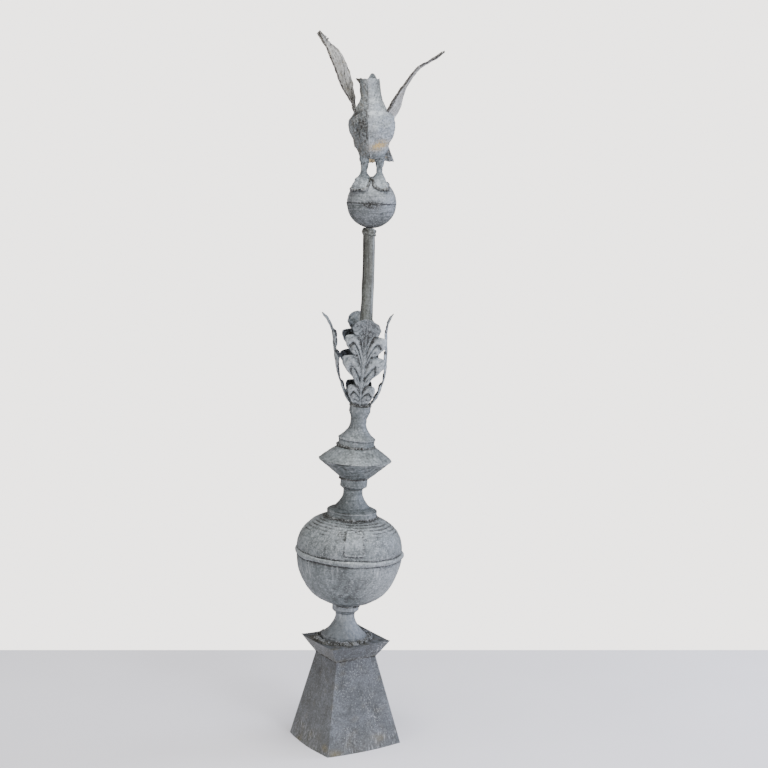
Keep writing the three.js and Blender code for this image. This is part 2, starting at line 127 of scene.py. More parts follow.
def ease(value: np.ndarray | float, low: float, high: float) -> np.ndarray:
    """A smooth step: nought below low, one above high, and a cubic between them.

    Args:
        value: The numbers to step.
        low: Where the step starts.
        high: Where it ends.

    Returns:
        The stepped numbers.
    """
    share = np.clip((np.asarray(value) - low) / (high - low), 0, 1)
    return share * share * (3 - 2 * share)


def hump(value: np.ndarray | float, middle: float, width: float) -> np.ndarray:
    """Returns a bell curve of height one: e to the minus square of the distance over the width."""
    return np.exp(-(((np.asarray(value) - middle) / width) ** 2))


def waves(points: np.ndarray, length: float, seed: int, count: int = 14) -> np.ndarray:
    """Smooth unevenness: the sum of sine waves in random directions, scaled to a spread of one.

    Args:
        points: Points of any shape, with their coordinates last.
        length: The usual length of a wave.
        seed: The seed of the directions, lengths and phases.
        count: How many waves are summed.

    Returns:
        One number for each point.
    """
    chance = np.random.default_rng(seed)
    ways = chance.normal(size=(count, 3))
    ways /= np.linalg.norm(ways, axis=1, keepdims=True)
    ways *= FULL_TURN / (length * chance.uniform(0.65, 1.5, size=(count, 1)))
    phases = chance.uniform(0, FULL_TURN, size=count)
    return np.sin(points @ ways.T + phases).sum(axis=-1) / math.sqrt(count / 2)


def lumps(points: np.ndarray, length: float, seed: int) -> np.ndarray:
    """Rounded lumps with sharp valleys: the absolute value of waves of two lengths."""
    return np.abs(waves(points, length, seed)) + 0.5 * np.abs(waves(points, length / 2.3, seed + 1))


def dents(points: np.ndarray, radius: float, depth: float, seed: int, count: int) -> np.ndarray:
    """Shallow knocks: bells pushed in at points picked at random from the surface itself.

    Args:
        points: The surface's grid of points.
        radius: How wide a dent is.
        depth: How deep it is.
        seed: The seed of the pick.
        count: How many dents there are.

    Returns:
        The height of the dented surface over the smooth one, nought or less.
    """
    chance = np.random.default_rng(seed)
    flat = points.reshape(-1, 3)
    centres = flat[chance.integers(0, len(flat), size=count)]
    height = np.zeros(points.shape[:-1])
    for centre in centres:
        near = np.linalg.norm(points - centre, axis=-1)
        height -= depth * np.exp(-((near / radius) ** 2))
    return height


def smooth_line(knots: np.ndarray, share: np.ndarray) -> np.ndarray:
    """A curve through knots at even steps: each span is the cubic whose slope at a knot is half the step
    between its neighbours.

    Args:
        knots: One row of coordinates or sizes for each knot.
        share: How far along the curve each wanted point lies, from nought to one.

    Returns:
        One row for each share.
    """
    ends = np.vstack([2 * knots[0] - knots[1], knots, 2 * knots[-1] - knots[-2]])
    place = np.clip(share, 0, 1) * (len(knots) - 1)
    span = np.minimum(place.astype(int), len(knots) - 2)
    t = (place - span)[..., None]
    a, b, c, d = (ends[span + i] for i in range(4))
    return b + 0.5 * t * (c - a + t * (2 * a - 5 * b + 4 * c - d + t * (3 * (b - c) + d - a)))


def at_stations(stations: np.ndarray, share: np.ndarray) -> np.ndarray:
    """Sizes at shares of a height, smooth through stations whose first column is their own share."""
    steps = np.interp(share, stations[:, 0], np.linspace(0, 1, len(stations)))
    return smooth_line(stations[:, 1:], steps)


def outward(grid: np.ndarray, closed: bool) -> np.ndarray:
    """Unit normals of a grid: the cross product of its steps across and its steps along.

    Args:
        grid: Points in rows and columns.
        closed: Whether the last column joins the first.

    Returns:
        One normal for each point, nought at a pole.
    """
    across = np.roll(grid, -1, 1) - np.roll(grid, 1, 1) if closed else np.gradient(grid, axis=1)
    normal = np.cross(across, np.gradient(grid, axis=0))
    return normal / np.maximum(np.linalg.norm(normal, axis=2, keepdims=True), 1e-12)


def softened(grid: np.ndarray, closed: bool, rounds: int) -> np.ndarray:
    """A grid blurred along both its ways: in each round a point moves halfway to its neighbours' mean.

    Args:
        grid: Points in rows and columns.
        closed: Whether the last column joins the first.
        rounds: How many rounds there are.

    Returns:
        The blurred grid.
    """
    soft = grid
    for _ in range(rounds):
        edge = "wrap" if closed else "edge"
        wide = np.pad(soft, ((0, 0), (1, 1), (0, 0)), mode=edge)
        soft = 0.5 * soft + 0.25 * (wide[:, :-2] + wide[:, 2:])
        tall = np.pad(soft, ((1, 1), (0, 0), (0, 0)), mode="edge")
        soft = 0.5 * soft + 0.25 * (tall[:-2] + tall[2:])
    return soft


def raised(grid: np.ndarray, closed: bool, relief: np.ndarray) -> np.ndarray:
    """Returns a grid whose points are moved out along their normals by the relief."""
    return grid + outward(grid, closed) * relief[..., None]


def pole(row: np.ndarray) -> np.ndarray:
    """Returns a row of a grid with all its points drawn in to their middle."""
    return row.mean(axis=1, keepdims=True) + 0 * row


def knocked(
    points: np.ndarray,
    seed: int,
    long_waves: tuple[float, float],
    short_waves: tuple[float, float],
    knocks: tuple[float, float, int],
) -> np.ndarray:
    """The unevenness of old sheet metal: waves of two lengths, and dents.

    Args:
        points: The surface's grid of points.
        seed: The first of the three seeds that they take.
        long_waves: The height and the length of the long waves.
        short_waves: Those of the short ones.
        knocks: The radius and the depth of a dent, and how many there are.

    Returns:
        Heights over the smooth surface.
    """
    long, short = waves(points, long_waves[1], seed), waves(points, short_waves[1], seed + 1)
    relief = long_waves[0] * long + short_waves[0] * short
    return relief + dents(points, knocks[0], knocks[1], seed + 2, knocks[2])


class Skin:
    """A closed surface gathered from grids of points, with marks that its finish reads.

    Its marks, in the order of MARKS, each run from nought to one. The first is how deep a point lies in a
    groove, which darkens it with dirt and with painted shade, and a piece may add more painted shade to it.
    The second is how much it stands out on an edge, which makes it pale with wear and with a painted
    highlight, and a piece may add more painted light to it. Then come how much water has washed it, how
    much rust or lichen lies on it and how thickly white lime specks it. The last is how far it faces the
    ground, which darkens it with painted shade.
    """

    def __init__(self, name: str) -> None:
        """Starts an empty surface.

        Args:
            name: The name of its piece.
        """
        self.name = name
        self.points: list[np.ndarray] = []
        self.faces: list[np.ndarray] = []
        self.marks: dict[str, list[np.ndarray]] = {mark: [] for mark in MARKS}
        self.count = 0

    def add(
        self,
        grid: np.ndarray,
        closed: bool = False,
        depth: float = 0.0005,
        rounds: int = 5,
        **marks: np.ndarray,
    ) -> "Skin":
        """Adds a grid whose columns run counter-clockwise about the way its rows climb.

        The groove mark (dirt and painted shade) and the edge mark (wear and painted highlight) are worked
        out from how far the blurred grid lies outside or inside the grid. The downward mark (painted shade)
        is worked out from how far the surface faces down.

        Args:
            grid: Points in rows and columns.
            closed: Whether the last column joins the first.
            depth: How deep a groove is that is marked fully.
            rounds: How many rounds of blur a groove is measured against.
            **marks: Further marks, added to those worked out.

        Returns:
            The surface itself.
        """
        rows, columns = grid.shape[:2]
        index = np.arange(rows * columns).reshape(rows, columns) + self.count
        right = np.roll(index, -1, axis=1) if closed else index[:, 1:]
        left = index if closed else index[:, :-1]
        quads = np.stack([left[:-1], right[:-1], right[1:], left[1:]], axis=-1)
        normal = outward(grid, closed)
        # A groove is darkened as dirt and as painted shade. An edge is made pale as wear and as a painted
        # highlight. A face that looks down is darkened as painted shade.
        sunk = ((softened(grid, closed, rounds) - grid) * normal).sum(axis=2) / depth
        shade_below = ease(-normal[..., 2], -0.1, 0.8)
        found = {"hollow": np.clip(sunk, 0, 1), "wear": np.clip(-sunk, 0, 1), "downward_shade": shade_below}
        for mark in MARKS:
            value = found.get(mark, np.zeros((rows, columns))) + marks.get(mark, 0.0)
            self.marks[mark].append(np.clip(value, 0, 1).ravel())
        self.points.append(grid.reshape(-1, 3))
        self.faces.append(quads.reshape(-1, 4))
        self.count += rows * columns
        return self

    def add_sheet(
        self,
        middle: np.ndarray,
        thickness: np.ndarray,
        behind: dict[str, np.ndarray] | None = None,
        **marks: np.ndarray,
    ) -> "Skin":
        """Adds a thin sheet: two faces half its thickness either side of a middle grid, and its four edges.

        Args:
            middle: The sheet's middle surface, in rows and columns.
            thickness: Its thickness at each point.
            behind: Marks of the back face, or none where they are those of the front.
            **marks: Marks of the front face.

        Returns:
            The surface itself.
        """
        offset = outward(middle, False) * thickness[..., None] / 2
        front, back = middle + offset, middle - offset
        self.add(front, **marks)
        flipped = {mark: value[:, ::-1] for mark, value in (behind or marks).items()}
        self.add(back[:, ::-1], **flipped)
        whole, first, last = slice(None), slice(0, 1), slice(-1, None)
        edges = (
            (np.stack([front[:, -1], back[:, -1]], axis=1), (whole, last)),
            (np.stack([back[:, 0], front[:, 0]], axis=1), (whole, first)),
            (np.stack([back[0], front[0]]), (first, whole)),
            (np.stack([front[-1], back[-1]]), (last, whole)),
        )
        for edge, part in edges:
            self.add(edge, **{mark: value[part] for mark, value in marks.items()})
        return self

    def build(self, place: Place, finish: "AgedZinc", slot: str, *nodes: str) -> bpy.types.Object:
        """Makes the piece in the scene.

        Args:
            place: Where the surface's own origin stands.
            finish: The finish that dresses it.
            slot: Not used.
            *nodes: The CAD nodes that it stands for.

        Returns:
            The finished piece.
        """
        mesh = bpy.data.meshes.new(self.name)
        points = place.put(np.concatenate(self.points))
        faces = np.concatenate(self.faces)
        mesh.vertices.add(len(points))
        mesh.vertices.foreach_set("co", points.astype(np.float32).ravel())
        mesh.loops.add(faces.size)
        mesh.loops.foreach_set("vertex_index", faces.astype(np.int32).ravel())
        mesh.polygons.add(len(faces))
        mesh.polygons.foreach_set("loop_start", np.arange(0, faces.size, 4, dtype=np.int32))
        mesh.update(calc_edges=True)
        for mark, values in self.marks.items():
            layer = mesh.attributes.new(mark, "FLOAT", "POINT")
            layer.data.foreach_set("value", np.concatenate(values).astype(np.float32))
        close_seams(mesh)
        mesh.materials.append(finish.material())
        piece = bpy.data.objects.new(self.name, mesh)
        bpy.context.scene.collection.objects.link(piece)
        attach(piece, ROOT)
        if nodes:
            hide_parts(*nodes)
        log.info("%s: %d faces", self.name, len(mesh.polygons))
        return piece


def close_seams(mesh: bpy.types.Mesh) -> None:
    """Merges points that coincide, at seams and poles, and shades the mesh smooth up to sharp edges.

    Args:
        mesh: The new mesh of a piece.
    """
    work = bmesh.new()
    work.from_mesh(mesh)
    bmesh.ops.remove_doubles(work, verts=work.verts, dist=1e-6)
    bmesh.ops.dissolve_degenerate(work, edges=work.edges, dist=1e-7)
    work.to_mesh(mesh)
    work.free()
    mesh.polygons.foreach_set("use_smooth", np.ones(len(mesh.polygons), dtype=bool))
    mesh.set_sharp_from_angle(angle=SHARP_EDGE)


def linear(colour: str) -> tuple[float, float, float, float]:
    """An sRGB colour turned to linear light by the standard curve.

    Args:
        colour: A hash sign and six hex digits.

    Returns:
        Its linear red, green and blue, and an alpha of one.
    """
    parts = [int(colour[i : i + 2], 16) / 255 for i in (1, 3, 5)]
    steps = [p / 12.92 if p <= 0.04045 else ((p + 0.055) / 1.055) ** 2.4 for p in parts]
    return (steps[0], steps[1], steps[2], 1.0)


def add_node(
    tree: bpy.types.NodeTree, kind: str, inputs: dict[int | str, object], **settings: object
) -> bpy.types.Node:
    """Adds a shader node with its settings, values and links.

    Args:
        tree: The material's node tree.
        kind: The node's Blender type.
        inputs: For each input, a value or the output socket to link to it.
        **settings: The node's own properties.

    Returns:
        The new node.
    """
    node = tree.nodes.new(kind)
    for name, value in settings.items():
        setattr(node, name, value)
    for key, value in inputs.items():
        if isinstance(value, bpy.types.NodeSocket):
            tree.links.new(value, node.inputs[key])
        else:
            node.inputs[key].default_value = value
    return node


@dataclass(frozen=True)
class Coat:
    """A colour laid over the ones before it where a pattern says, and a mark where one is named.

    It is absent where the pattern has the value start and as thick as its strength from the value end.
    """

    colour: str
    pattern: str
    start: float
    end: float
    strength: float
    mark: str = ""


@dataclass(frozen=True)
class AgedZinc:
    """Sheet zinc, rolled and left bare outdoors for a century: a chalky grey skin over dull metal.

    The skin is zinc carbonate. It is matte and blotched, speckled as fine as sand, washed pale where water
    runs and black with dirt and painted shade in seams and hollows. Its dark coat on faces that look down
    is painted shade, and its pale bloom on edges is wear and painted highlight. Sizes of the patterns are
    in metres.
    """

    name: str
    body: str = "#798082"
    pale: str = "#989fa4"
    dark: str = "#4e5454"
    grime_and_shade: str = "#2c2b27"
    bloom_and_sheen: str = "#c9ced1"
    stain: str = "#8a744a"
    lime: str = "#dcdfe2"
    blotch: float = 0.045
    mottle: float = 0.012
    # The skin's grain and its specks of lime are under half a millimetre across, and a lathe's rings about
    # a millimetre apart. All are drawn 3 to 4 mm across, as coarse as they need to be to show.
    grain: float = 0.0040
    speck: float = 0.0028
    lathe_ring: tuple[float, float, float] = (0.07, 0.07, 0.0042)
    streak_width: float = 0.006
    streak_length: float = 0.09
    turning: float = 0.0
    wash: float = 0.7
    speckle: float = 0.6
    sheen_and_wear: float = 0.5
    pitting: float = 0.0006
    roughness: float = 0.56
    metallic: float = 0.35

    def patterns(self) -> dict[str, tuple[tuple[float, float, float], float, float]]:
        """The noises that the coats follow.

        Returns:
            For each noise, its blob's size along X, Y and Z, its detail and its roughness.
        """
        return {
            "blotch": ((self.blotch,) * 3, 6.0, 0.62),
            "mottle": ((self.mottle,) * 3, 4.0, 0.65),
            "grain": ((self.grain,) * 3, 4.0, 0.75),
            "down": ((self.streak_width, self.streak_width, self.streak_length), 3.0, 0.6),
            "turned": (self.lathe_ring, 3.0, 0.65),
            "specks": ((self.speck,) * 3, 1.0, 0.5),
        }

    def coats(self) -> tuple[Coat, ...]:
        """The colours laid over the body colour.

        Returns:
            The coats, from the lowest up.
        """
        return (
            Coat(self.pale, "blotch", 0.46, 0.7, 0.85),
            Coat(self.dark, "blotch", 0.48, 0.3, 0.75),
            Coat(self.dark, "mottle", 0.5, 0.3, 0.5),
            Coat(self.dark, "turned", 0.47, 0.6, self.turning),
            # Painted shade: faces that look down are darkened.
            Coat(self.dark, "mottle", 0.75, 0.25, 1.0, "downward_shade"),
            Coat(self.dark, "grain", 0.5, 0.36, self.speckle),
            Coat(self.dark, "down", 0.45, 0.3, self.wash, "run"),
            Coat(self.bloom_and_sheen, "down", 0.52, 0.72, self.wash, "run"),
            # Pale bloom on worn edges, and painted highlight wherever a piece paints light.
            Coat(self.bloom_and_sheen, "grain", 0.2, 0.8, self.sheen_and_wear, "wear"),
            Coat(self.stain, "grain", 0.25, 0.55, 0.9, "stain"),
            Coat(self.bloom_and_sheen, "grain", 0.54, 0.68, 0.85 * self.speckle),
            # Grime and painted shade, laid in grooves and wherever a piece paints shade.
            Coat(self.grime_and_shade, "grain", 0.9, 0.4, 1.0, "hollow"),
            Coat(self.lime, "specks", 0.6, 0.68, 0.9, "chalk"),
        )

    def material(self) -> bpy.types.Material:
        """Returns the finish's material, made once."""
        return bpy.data.materials.get(self.name) or self.make()

    def make(self) -> bpy.types.Material:
        """Makes the material: noises of real sizes, and the piece's marks, lay coat over coat.

        Returns:
            The new material.
        """
        material = bpy.data.materials.new(self.name)
        material.use_nodes = True
        tree = material.node_tree
        tree.nodes.clear()
        own = add_node(tree, "ShaderNodeTexCoord", {}).outputs["Object"]
        noise = {}
        for name, (sizes, detail, rough) in self.patterns().items():
            scale = tuple(1 / size for size in sizes)
            at = add_node(tree, "ShaderNodeMapping", {"Vector": own, "Scale": scale}).outputs[0]
            inputs = {"Vector": at, "Scale": 1.0, "Detail": detail, "Roughness": rough}
            noise[name] = add_node(tree, "ShaderNodeTexNoise", inputs).outputs["Fac"]
        mark = {
            name: add_node(tree, "ShaderNodeAttribute", {}, attribute_name=name).outputs["Fac"]
            for name in MARKS
        }
        colour: object = linear(self.body)
        for coat in self.coats():
            inputs = {"Value": noise[coat.pattern], "From Min": coat.start, "From Max": coat.end}
            inputs |= {"To Min": 0.0, "To Max": coat.strength}
            ramp = add_node(tree, "ShaderNodeMapRange", inputs, interpolation_type="SMOOTHSTEP")
            share = ramp.outputs[0]
            if coat.mark:
                both = {0: share, 1: mark[coat.mark]}
                share = add_node(tree, "ShaderNodeMath", both, operation="MULTIPLY").outputs[0]
            layer = {0: share, 6: colour, 7: linear(coat.colour)}
            colour = add_node(tree, "ShaderNodeMix", layer, data_type="RGBA").outputs[2]
        rougher = {"Value": noise["blotch"], "From Min": 0.3, "From Max": 0.7}
        rougher |= {"To Min": self.roughness - 0.06, "To Max": self.roughness + 0.1}
        relief = {0: 0.3, 2: noise["grain"], 3: noise["blotch"]}
        height = add_node(tree, "ShaderNodeMix", relief, data_type="FLOAT").outputs[0]
        bump = add_node(tree, "ShaderNodeBump", {"Height": height, "Distance": self.pitting})
        inputs = {
            "Base Color": colour,
            "Roughness": add_node(tree, "ShaderNodeMapRange", rougher).outputs[0],
            "Metallic": self.metallic,
            "Normal": bump.outputs["Normal"],
        }
        shader = add_node(tree, "ShaderNodeBsdfPrincipled", inputs)
        add_node(tree, "ShaderNodeOutputMaterial", {"Surface": shader.outputs["BSDF"]})
        return material


# Sheet zinc spun on a lathe: matte grey, blotched and speckled, with faint rings.
SPUN_ZINC = AgedZinc("weathered_spun_zinc", turning=0.35)
# Spun zinc of the necks, which rain has washed: paler, with few specks.
NECK_ZINC = AgedZinc("weathered_neck_zinc", body="#8f969b", dark="#656a6d", turning=0.2, speckle=0.35)
# Spun zinc of the orb, bare to rain all round: pale grey with clear rings.
ORB_ZINC = AgedZinc("weathered_orb_zinc", body="#868c92", turning=0.85, speckle=0.4)
# Sheet zinc cut, folded and soldered: flat dark grey, with pale runs and flecks of lime.
BOX_ZINC = AgedZinc(
    "weathered_folded_zinc",
    body="#62666a", pale="#787d84", dark="#474948", bloom_and_sheen="#a9adb3", stain="#867a50", speckle=0.6,
    streak_width=0.0045, wash=0.9, roughness=0.6,
)
# Sheet zinc stamped in dies: worn pale on its relief and dark in its hollows, where the pieces also paint
# highlight and shade.
STAMPED_ZINC = AgedZinc(
    "weathered_stamped_zinc",
    body="#8d969b", pale="#adb6bb", dark="#565b5d", stain="#cfae68", blotch=0.035, speckle=0.75,
    sheen_and_wear=0.75, pitting=0.0008,
)
# Thin stamped zinc, bleached by rain and lime: almost white, with brown-black streaks.
PLUME_ZINC = AgedZinc(
    "weathered_plume_zinc",
    body="#b2b2ae", pale="#d0cfca", dark="#6b675f", grime_and_shade="#2f2a23", bloom_and_sheen="#e0dfdb", stain="#a3904f",
    blotch=0.03, streak_width=0.004, streak_length=0.05, speckle=0.6, wash=1.0, sheen_and_wear=0.8, roughness=0.5,
)
# Zinc sheet rolled into a tube, then browned by smoke and rain: satin, in long streaks.
TUBE_ZINC = AgedZinc(
    "browned_zinc_tube",
    body="#64645e", pale="#8b8d86", dark="#3b3a33", bloom_and_sheen="#a5adaa", streak_width=0.0035,
    streak_length=0.11, speckle=0.35, wash=0.95, sheen_and_wear=0.6, roughness=0.46, metallic=0.5,
)
# Solder of lead and tin, run with an iron and left to dull: dark and rough, pale on its tops.
OLD_SOLDER = AgedZinc(
    "weathered_solder",
    body="#4f4e47", pale="#7c7c75", dark="#302f29", blotch=0.011, grain=0.0024, speckle=0.8, sheen_and_wear=0.9,
    pitting=0.0009, roughness=0.72,
)


def turned_grid(profile: np.ndarray, columns: int) -> np.ndarray:
    """A lathe surface: each profile point is carried round the axis at its radius and height.

    Args:
        profile: Rows of radius and height, from the foot up.
        columns: How many points stand round the axis.

    Returns:
        The grid of points.
    """
    angle = round_angles(columns)
    radius, level = profile[:, :1], profile[:, 1:]
    return np.stack([radius * np.cos(angle), radius * np.sin(angle), level + 0 * angle], axis=-1)


def eased_profile(corners: list[tuple[float, float]], step: float, rounding: float) -> np.ndarray:
    """A profile walked at even steps, its corners rounded by a bell-shaped running mean. Of a flat end
    that runs in to the axis only the outer few millimetres are walked, and one step closes the rest.

    Args:
        corners: Radius and height at each corner.
        step: The distance between points.
        rounding: How far along the profile a corner is rounded.

    Returns:
        Rows of radius and height.
    """
    line = np.array(corners)
    ends = [line[:1] if line[0, 0] == 0 else line[:0], line[-1:] if line[-1, 0] == 0 else line[:0]]
    ends = [end.copy() for end in ends]
    for end, own, beside in ((ends[0], 0, 1), (ends[1], -1, -2)):
        if len(end):
            line[own, 0] = line[beside, 0] - FLAT_RIM
    walked = np.concatenate([[0], np.cumsum(np.linalg.norm(np.diff(line, axis=0), axis=1))])
    stops = np.linspace(0, walked[-1], max(8, round(walked[-1] / step)))
    even = np.stack([np.interp(stops, walked, line[:, i]) for i in range(2)], axis=1)
    reach = max(1, round(2.5 * rounding / step))
    weights = hump(np.arange(-reach, reach + 1) * step, 0, rounding)
    padded = np.pad(even, ((reach, reach), (0, 0)), mode="reflect", reflect_type="odd")
    soft = [np.convolve(padded[:, i], weights / weights.sum(), mode="valid") for i in range(2)]
    return np.concatenate([ends[0], np.stack(soft, axis=1), ends[1]])


@dataclass(frozen=True)
class Box:
    """A square sheet-metal frustum with folded corners: the pedestal or its flared cap."""

    name: str
    foot: float
    head: float
    height: float
    foot_at: tuple[float, float]
    head_at: tuple[float, float]
    belly: float
    wobble: float
    seed: int
    tip_lift: float = 0.0
    chalk: float = 0.0
    rust: float = 1.0
    side_columns: int = 46
    rows: int = 84
    end_rings: int = 24

    def build(self, place: Place, finish: AgedZinc) -> bpy.types.Object:
        """Builds the box: four sheets that belly out as parabolas, a closed underside and a closed top.

        Args:
            place: Where the middle of the finial's foot stands at the box's level.
            finish: Its finish.

        Returns:
            The piece.
        """
        share = np.linspace(0, 1, self.rows)[:, None]
        step = (np.arange(4 * self.side_columns) + 0.5) / self.side_columns
        side = np.floor(step)
        u = np.sin(math.pi * (step - side - 0.5))[None]
        half = (self.foot + (self.head - self.foot) * share) / 2
        out = half + self.belly * (1 - u**2) * (1 - share) ** 2
        turn = side * math.pi / 2
        foot_at, head_at = np.array(self.foot_at), np.array(self.head_at)
        middle = foot_at + (head_at - foot_at) * share
        x = u * half * np.cos(turn) + out * np.sin(turn) + middle[:, :1]
        y = u * half * np.sin(turn) - out * np.cos(turn) + middle[:, 1:]
        lift = self.tip_lift * np.abs(u) ** 9 * share**3
        grid = np.stack([x, y, self.height * share + lift], axis=-1)
        inner = (1 - u**2) ** 0.7
        knocks = (0.014, 3.5 * self.wobble, 6)
        relief = knocked(grid, self.seed, (self.wobble, 0.07), (0.3 * self.wobble, 0.02), knocks)
        grid = raised(grid, True, relief * inner)
        grid[..., 2] = np.clip(grid[..., 2], 0, self.height + lift)
        # Painted highlight and wear: the folded corners are made pale in patches.
        arris = hump(1 - np.abs(u), 0, 0.012) * ease(waves(grid, 0.02, self.seed + 3), -0.6, 0.9)
        low = 1 - ease(share, 0.02, 0.3)
        washed = 2.6 * low * ease(waves(grid, 0.07, self.seed + 4) + 0.9 * inner, -0.3, 1.2)
        rust = (1 - ease(share, 0.0, 0.26)) * ease(waves(grid, 0.045, self.seed + 5) + 1.2 * u**2, 0.6, 3.0)
        rust = self.rust * (0.65 * rust + 0.12 * ease(waves(grid, 0.03, self.seed + 6), 0.6, 2.4))
        rust = rust + 0.07 * (side == 3) + 0.1 * low * inner
        front = 0.35 + 0.65 * (side == 0)
        cloudy = waves(grid, 0.08, self.seed + 7) + 0.5 * waves(grid, 0.025, self.seed + 10)
        bright = self.chalk * front * ease(cloudy, -0.6, 1.6) * (1 - 0.6 * low)
        skin = Skin(self.name)
        skin.add(grid, True, depth=0.0015, rounds=6, run=washed, wear=0.8 * arris, stain=rust, chalk=bright)
        self.close(skin, grid[0], rising=True)
        self.close(skin, grid[-1], rising=False)
        return skin.build(place, finish, "weathered_zinc", self.name)

    def close(self, skin: Skin, edge: np.ndarray, rising: bool) -> None:
        """Closes an end of the box with rings that shrink to its middle, dirty and rusty toward it.

        Args:
            skin: The box's surface.
            edge: The box's edge there.
            rising: Whether the rings run from the middle out, as they do at the underside.
        """
        part = np.linspace(0, 1, self.end_rings)[:, None, None]
        middle = edge.mean(axis=0)
        rings = middle + (edge - middle) * part
        rings[..., 2] = middle[2] + (edge[:, 2] - middle[2]) * part[..., 0] ** 6
        if not rising:
            rings = rings[::-1]
        grime_and_shade = 0.05 + 0.5 * ease(waves(rings, 0.02, self.seed + 8), -0.2, 1.2)
        rust = 0.25 * ease(waves(rings, 0.03, self.seed + 9), -0.3, 1.6)
        pale = 0.8 * ease(waves(rings, 0.014, self.seed + 12), 0.1, 1.4)
        skin.add(rings, True, hollow=grime_and_shade, stain=rust, wear=pale)


@dataclass(frozen=True)
class SolderBead:
    """A bead of solder run along a closed path, thick and thin by turns."""

    name: str
    radius: float
    seed: int
    pale: float = 0.0
    sides: int = 16

    def build(
        self, path: np.ndarray, place: Place, finish: AgedZinc, up: np.ndarray | None = None
    ) -> bpy.types.Object:
        """Builds the bead as a tube round the path.

        Args:
            path: Points on the path, the last next to the first.
            place: The frame that they are in.
            finish: The bead's finish.
            up: The way that is up at each of them, or none where it is Z.

        Returns:
            The piece.
        """
        ahead = np.roll(path, -1, 0) - np.roll(path, 1, 0)
        ahead = ahead / np.linalg.norm(ahead, axis=1, keepdims=True)
        rise = np.array([0.0, 0.0, 1.0]) if up is None else up
        out = np.cross(ahead, rise)
        section = np.linspace(0, FULL_TURN, self.sides + 1)[:, None, None]
        swell = 1 + 0.28 * waves(path, 0.008, self.seed) + 0.15 * waves(path, 0.025, self.seed + 1)
        thick = self.radius * np.clip(swell, 0.45, 1.6)[None, :, None]
        tube = path + thick * (np.cos(section) * out + np.sin(section) * rise)
        tube = raised(tube, True, 0.12 * self.radius * waves(tube, 2.2 * self.radius, self.seed + 2))
        patchy = ease(waves(tube, 0.015, self.seed + 3), 0.3, 1.4)
        skin = Skin(self.name)
        skin.add(tube, True, depth=0.0006, hollow=0.75 * (1 - patchy), wear=self.pale * patchy)
        return skin.build(place, finish, "old_solder")


@dataclass(frozen=True)
class Neck:
    """A turned neck: a banded foot with a small lip, a shoulder, a cove up to the waist, a chamfer and a
    collar."""

    name: str
    foot_radius: float
    foot_height: float
    shoulder_radius: float
    shoulder_rise: float
    waist_radius: float
    waist_rise: float
    cove_power: float
    chamfer_rise: float
    collar_radius: float
    collar_height: float
    height: float
    slope: float
    lip: float
    seed: int
    washed: float = 0.45
    columns: int = 144

    def profile(self) -> np.ndarray:
        """The neck's profile. In the cove the radius falls with a power of the height left to the waist.

        Returns:
            Rows of radius and height.
        """
        below = self.foot_radius * math.tan(self.slope)
        cove_foot = self.foot_height + self.shoulder_rise
        waist = cove_foot + self.waist_rise
        collar_foot = self.height - self.collar_height
        levels = np.linspace(cove_foot, waist, 24)
        left = (waist - levels) / self.waist_rise
        cove = self.waist_radius + (self.shoulder_radius - self.waist_radius) * left**self.cove_power
        foot, top = self.foot_radius - self.lip, self.foot_height
        corners = [(0, -below), (foot, -below), (foot, top - 0.0035), (foot + self.lip, top - 0.0022)]
        corners += [(foot + self.lip, top)]
        corners += list(zip(cove, levels))
        corners += [(self.waist_radius, max(collar_foot - self.chamfer_rise, waist + SEAM))]
        corners += [(self.collar_radius, collar_foot), (self.collar_radius, self.height)]
        corners += [(0, self.height)]
        return eased_profile(corners, 0.0011, 0.0007)

    def build(self, place: Place, finish: AgedZinc) -> bpy.types.Object:
        """Builds the neck, its foot cut to the plane that it stands on.

        Args:
            place: Where the middle of its foot stands.
            finish: Its finish.

        Returns:
            The piece.
        """
        grid = turned_grid(self.profile(), self.columns)
        relief = knocked(grid, self.seed, (0.0004, 0.045), (0.00015, 0.011), (0.007, 0.0009, 8))
        grid = raised(grid, True, relief)
        grid[..., 2] = np.maximum(grid[..., 2], grid[..., 0] * math.tan(self.slope))
        level = grid[..., 2]
        grime_and_shade = 0.7 * hump(level, self.foot_height + 0.0006, 0.0011) + 0.9 * hump(level, 0.0, 0.003)
        grime_and_shade = grime_and_shade + 0.8 * hump(level, self.height - self.collar_height - 0.0006, 0.0012)
        grime_and_shade = grime_and_shade + 0.5 * hump(level, self.foot_height - 0.0045, 0.0012)
        patchy = ease(waves(grid, 0.03, self.seed + 3), -1.2, 0.8)
        run = self.washed * ease(waves(grid, 0.04, self.seed + 4), -0.5 - self.washed, 1.5)
        skin = Skin(self.name).add(grid, True, hollow=grime_and_shade * patchy, run=run)
        return skin.build(place, finish, "weathered_zinc", self.name)


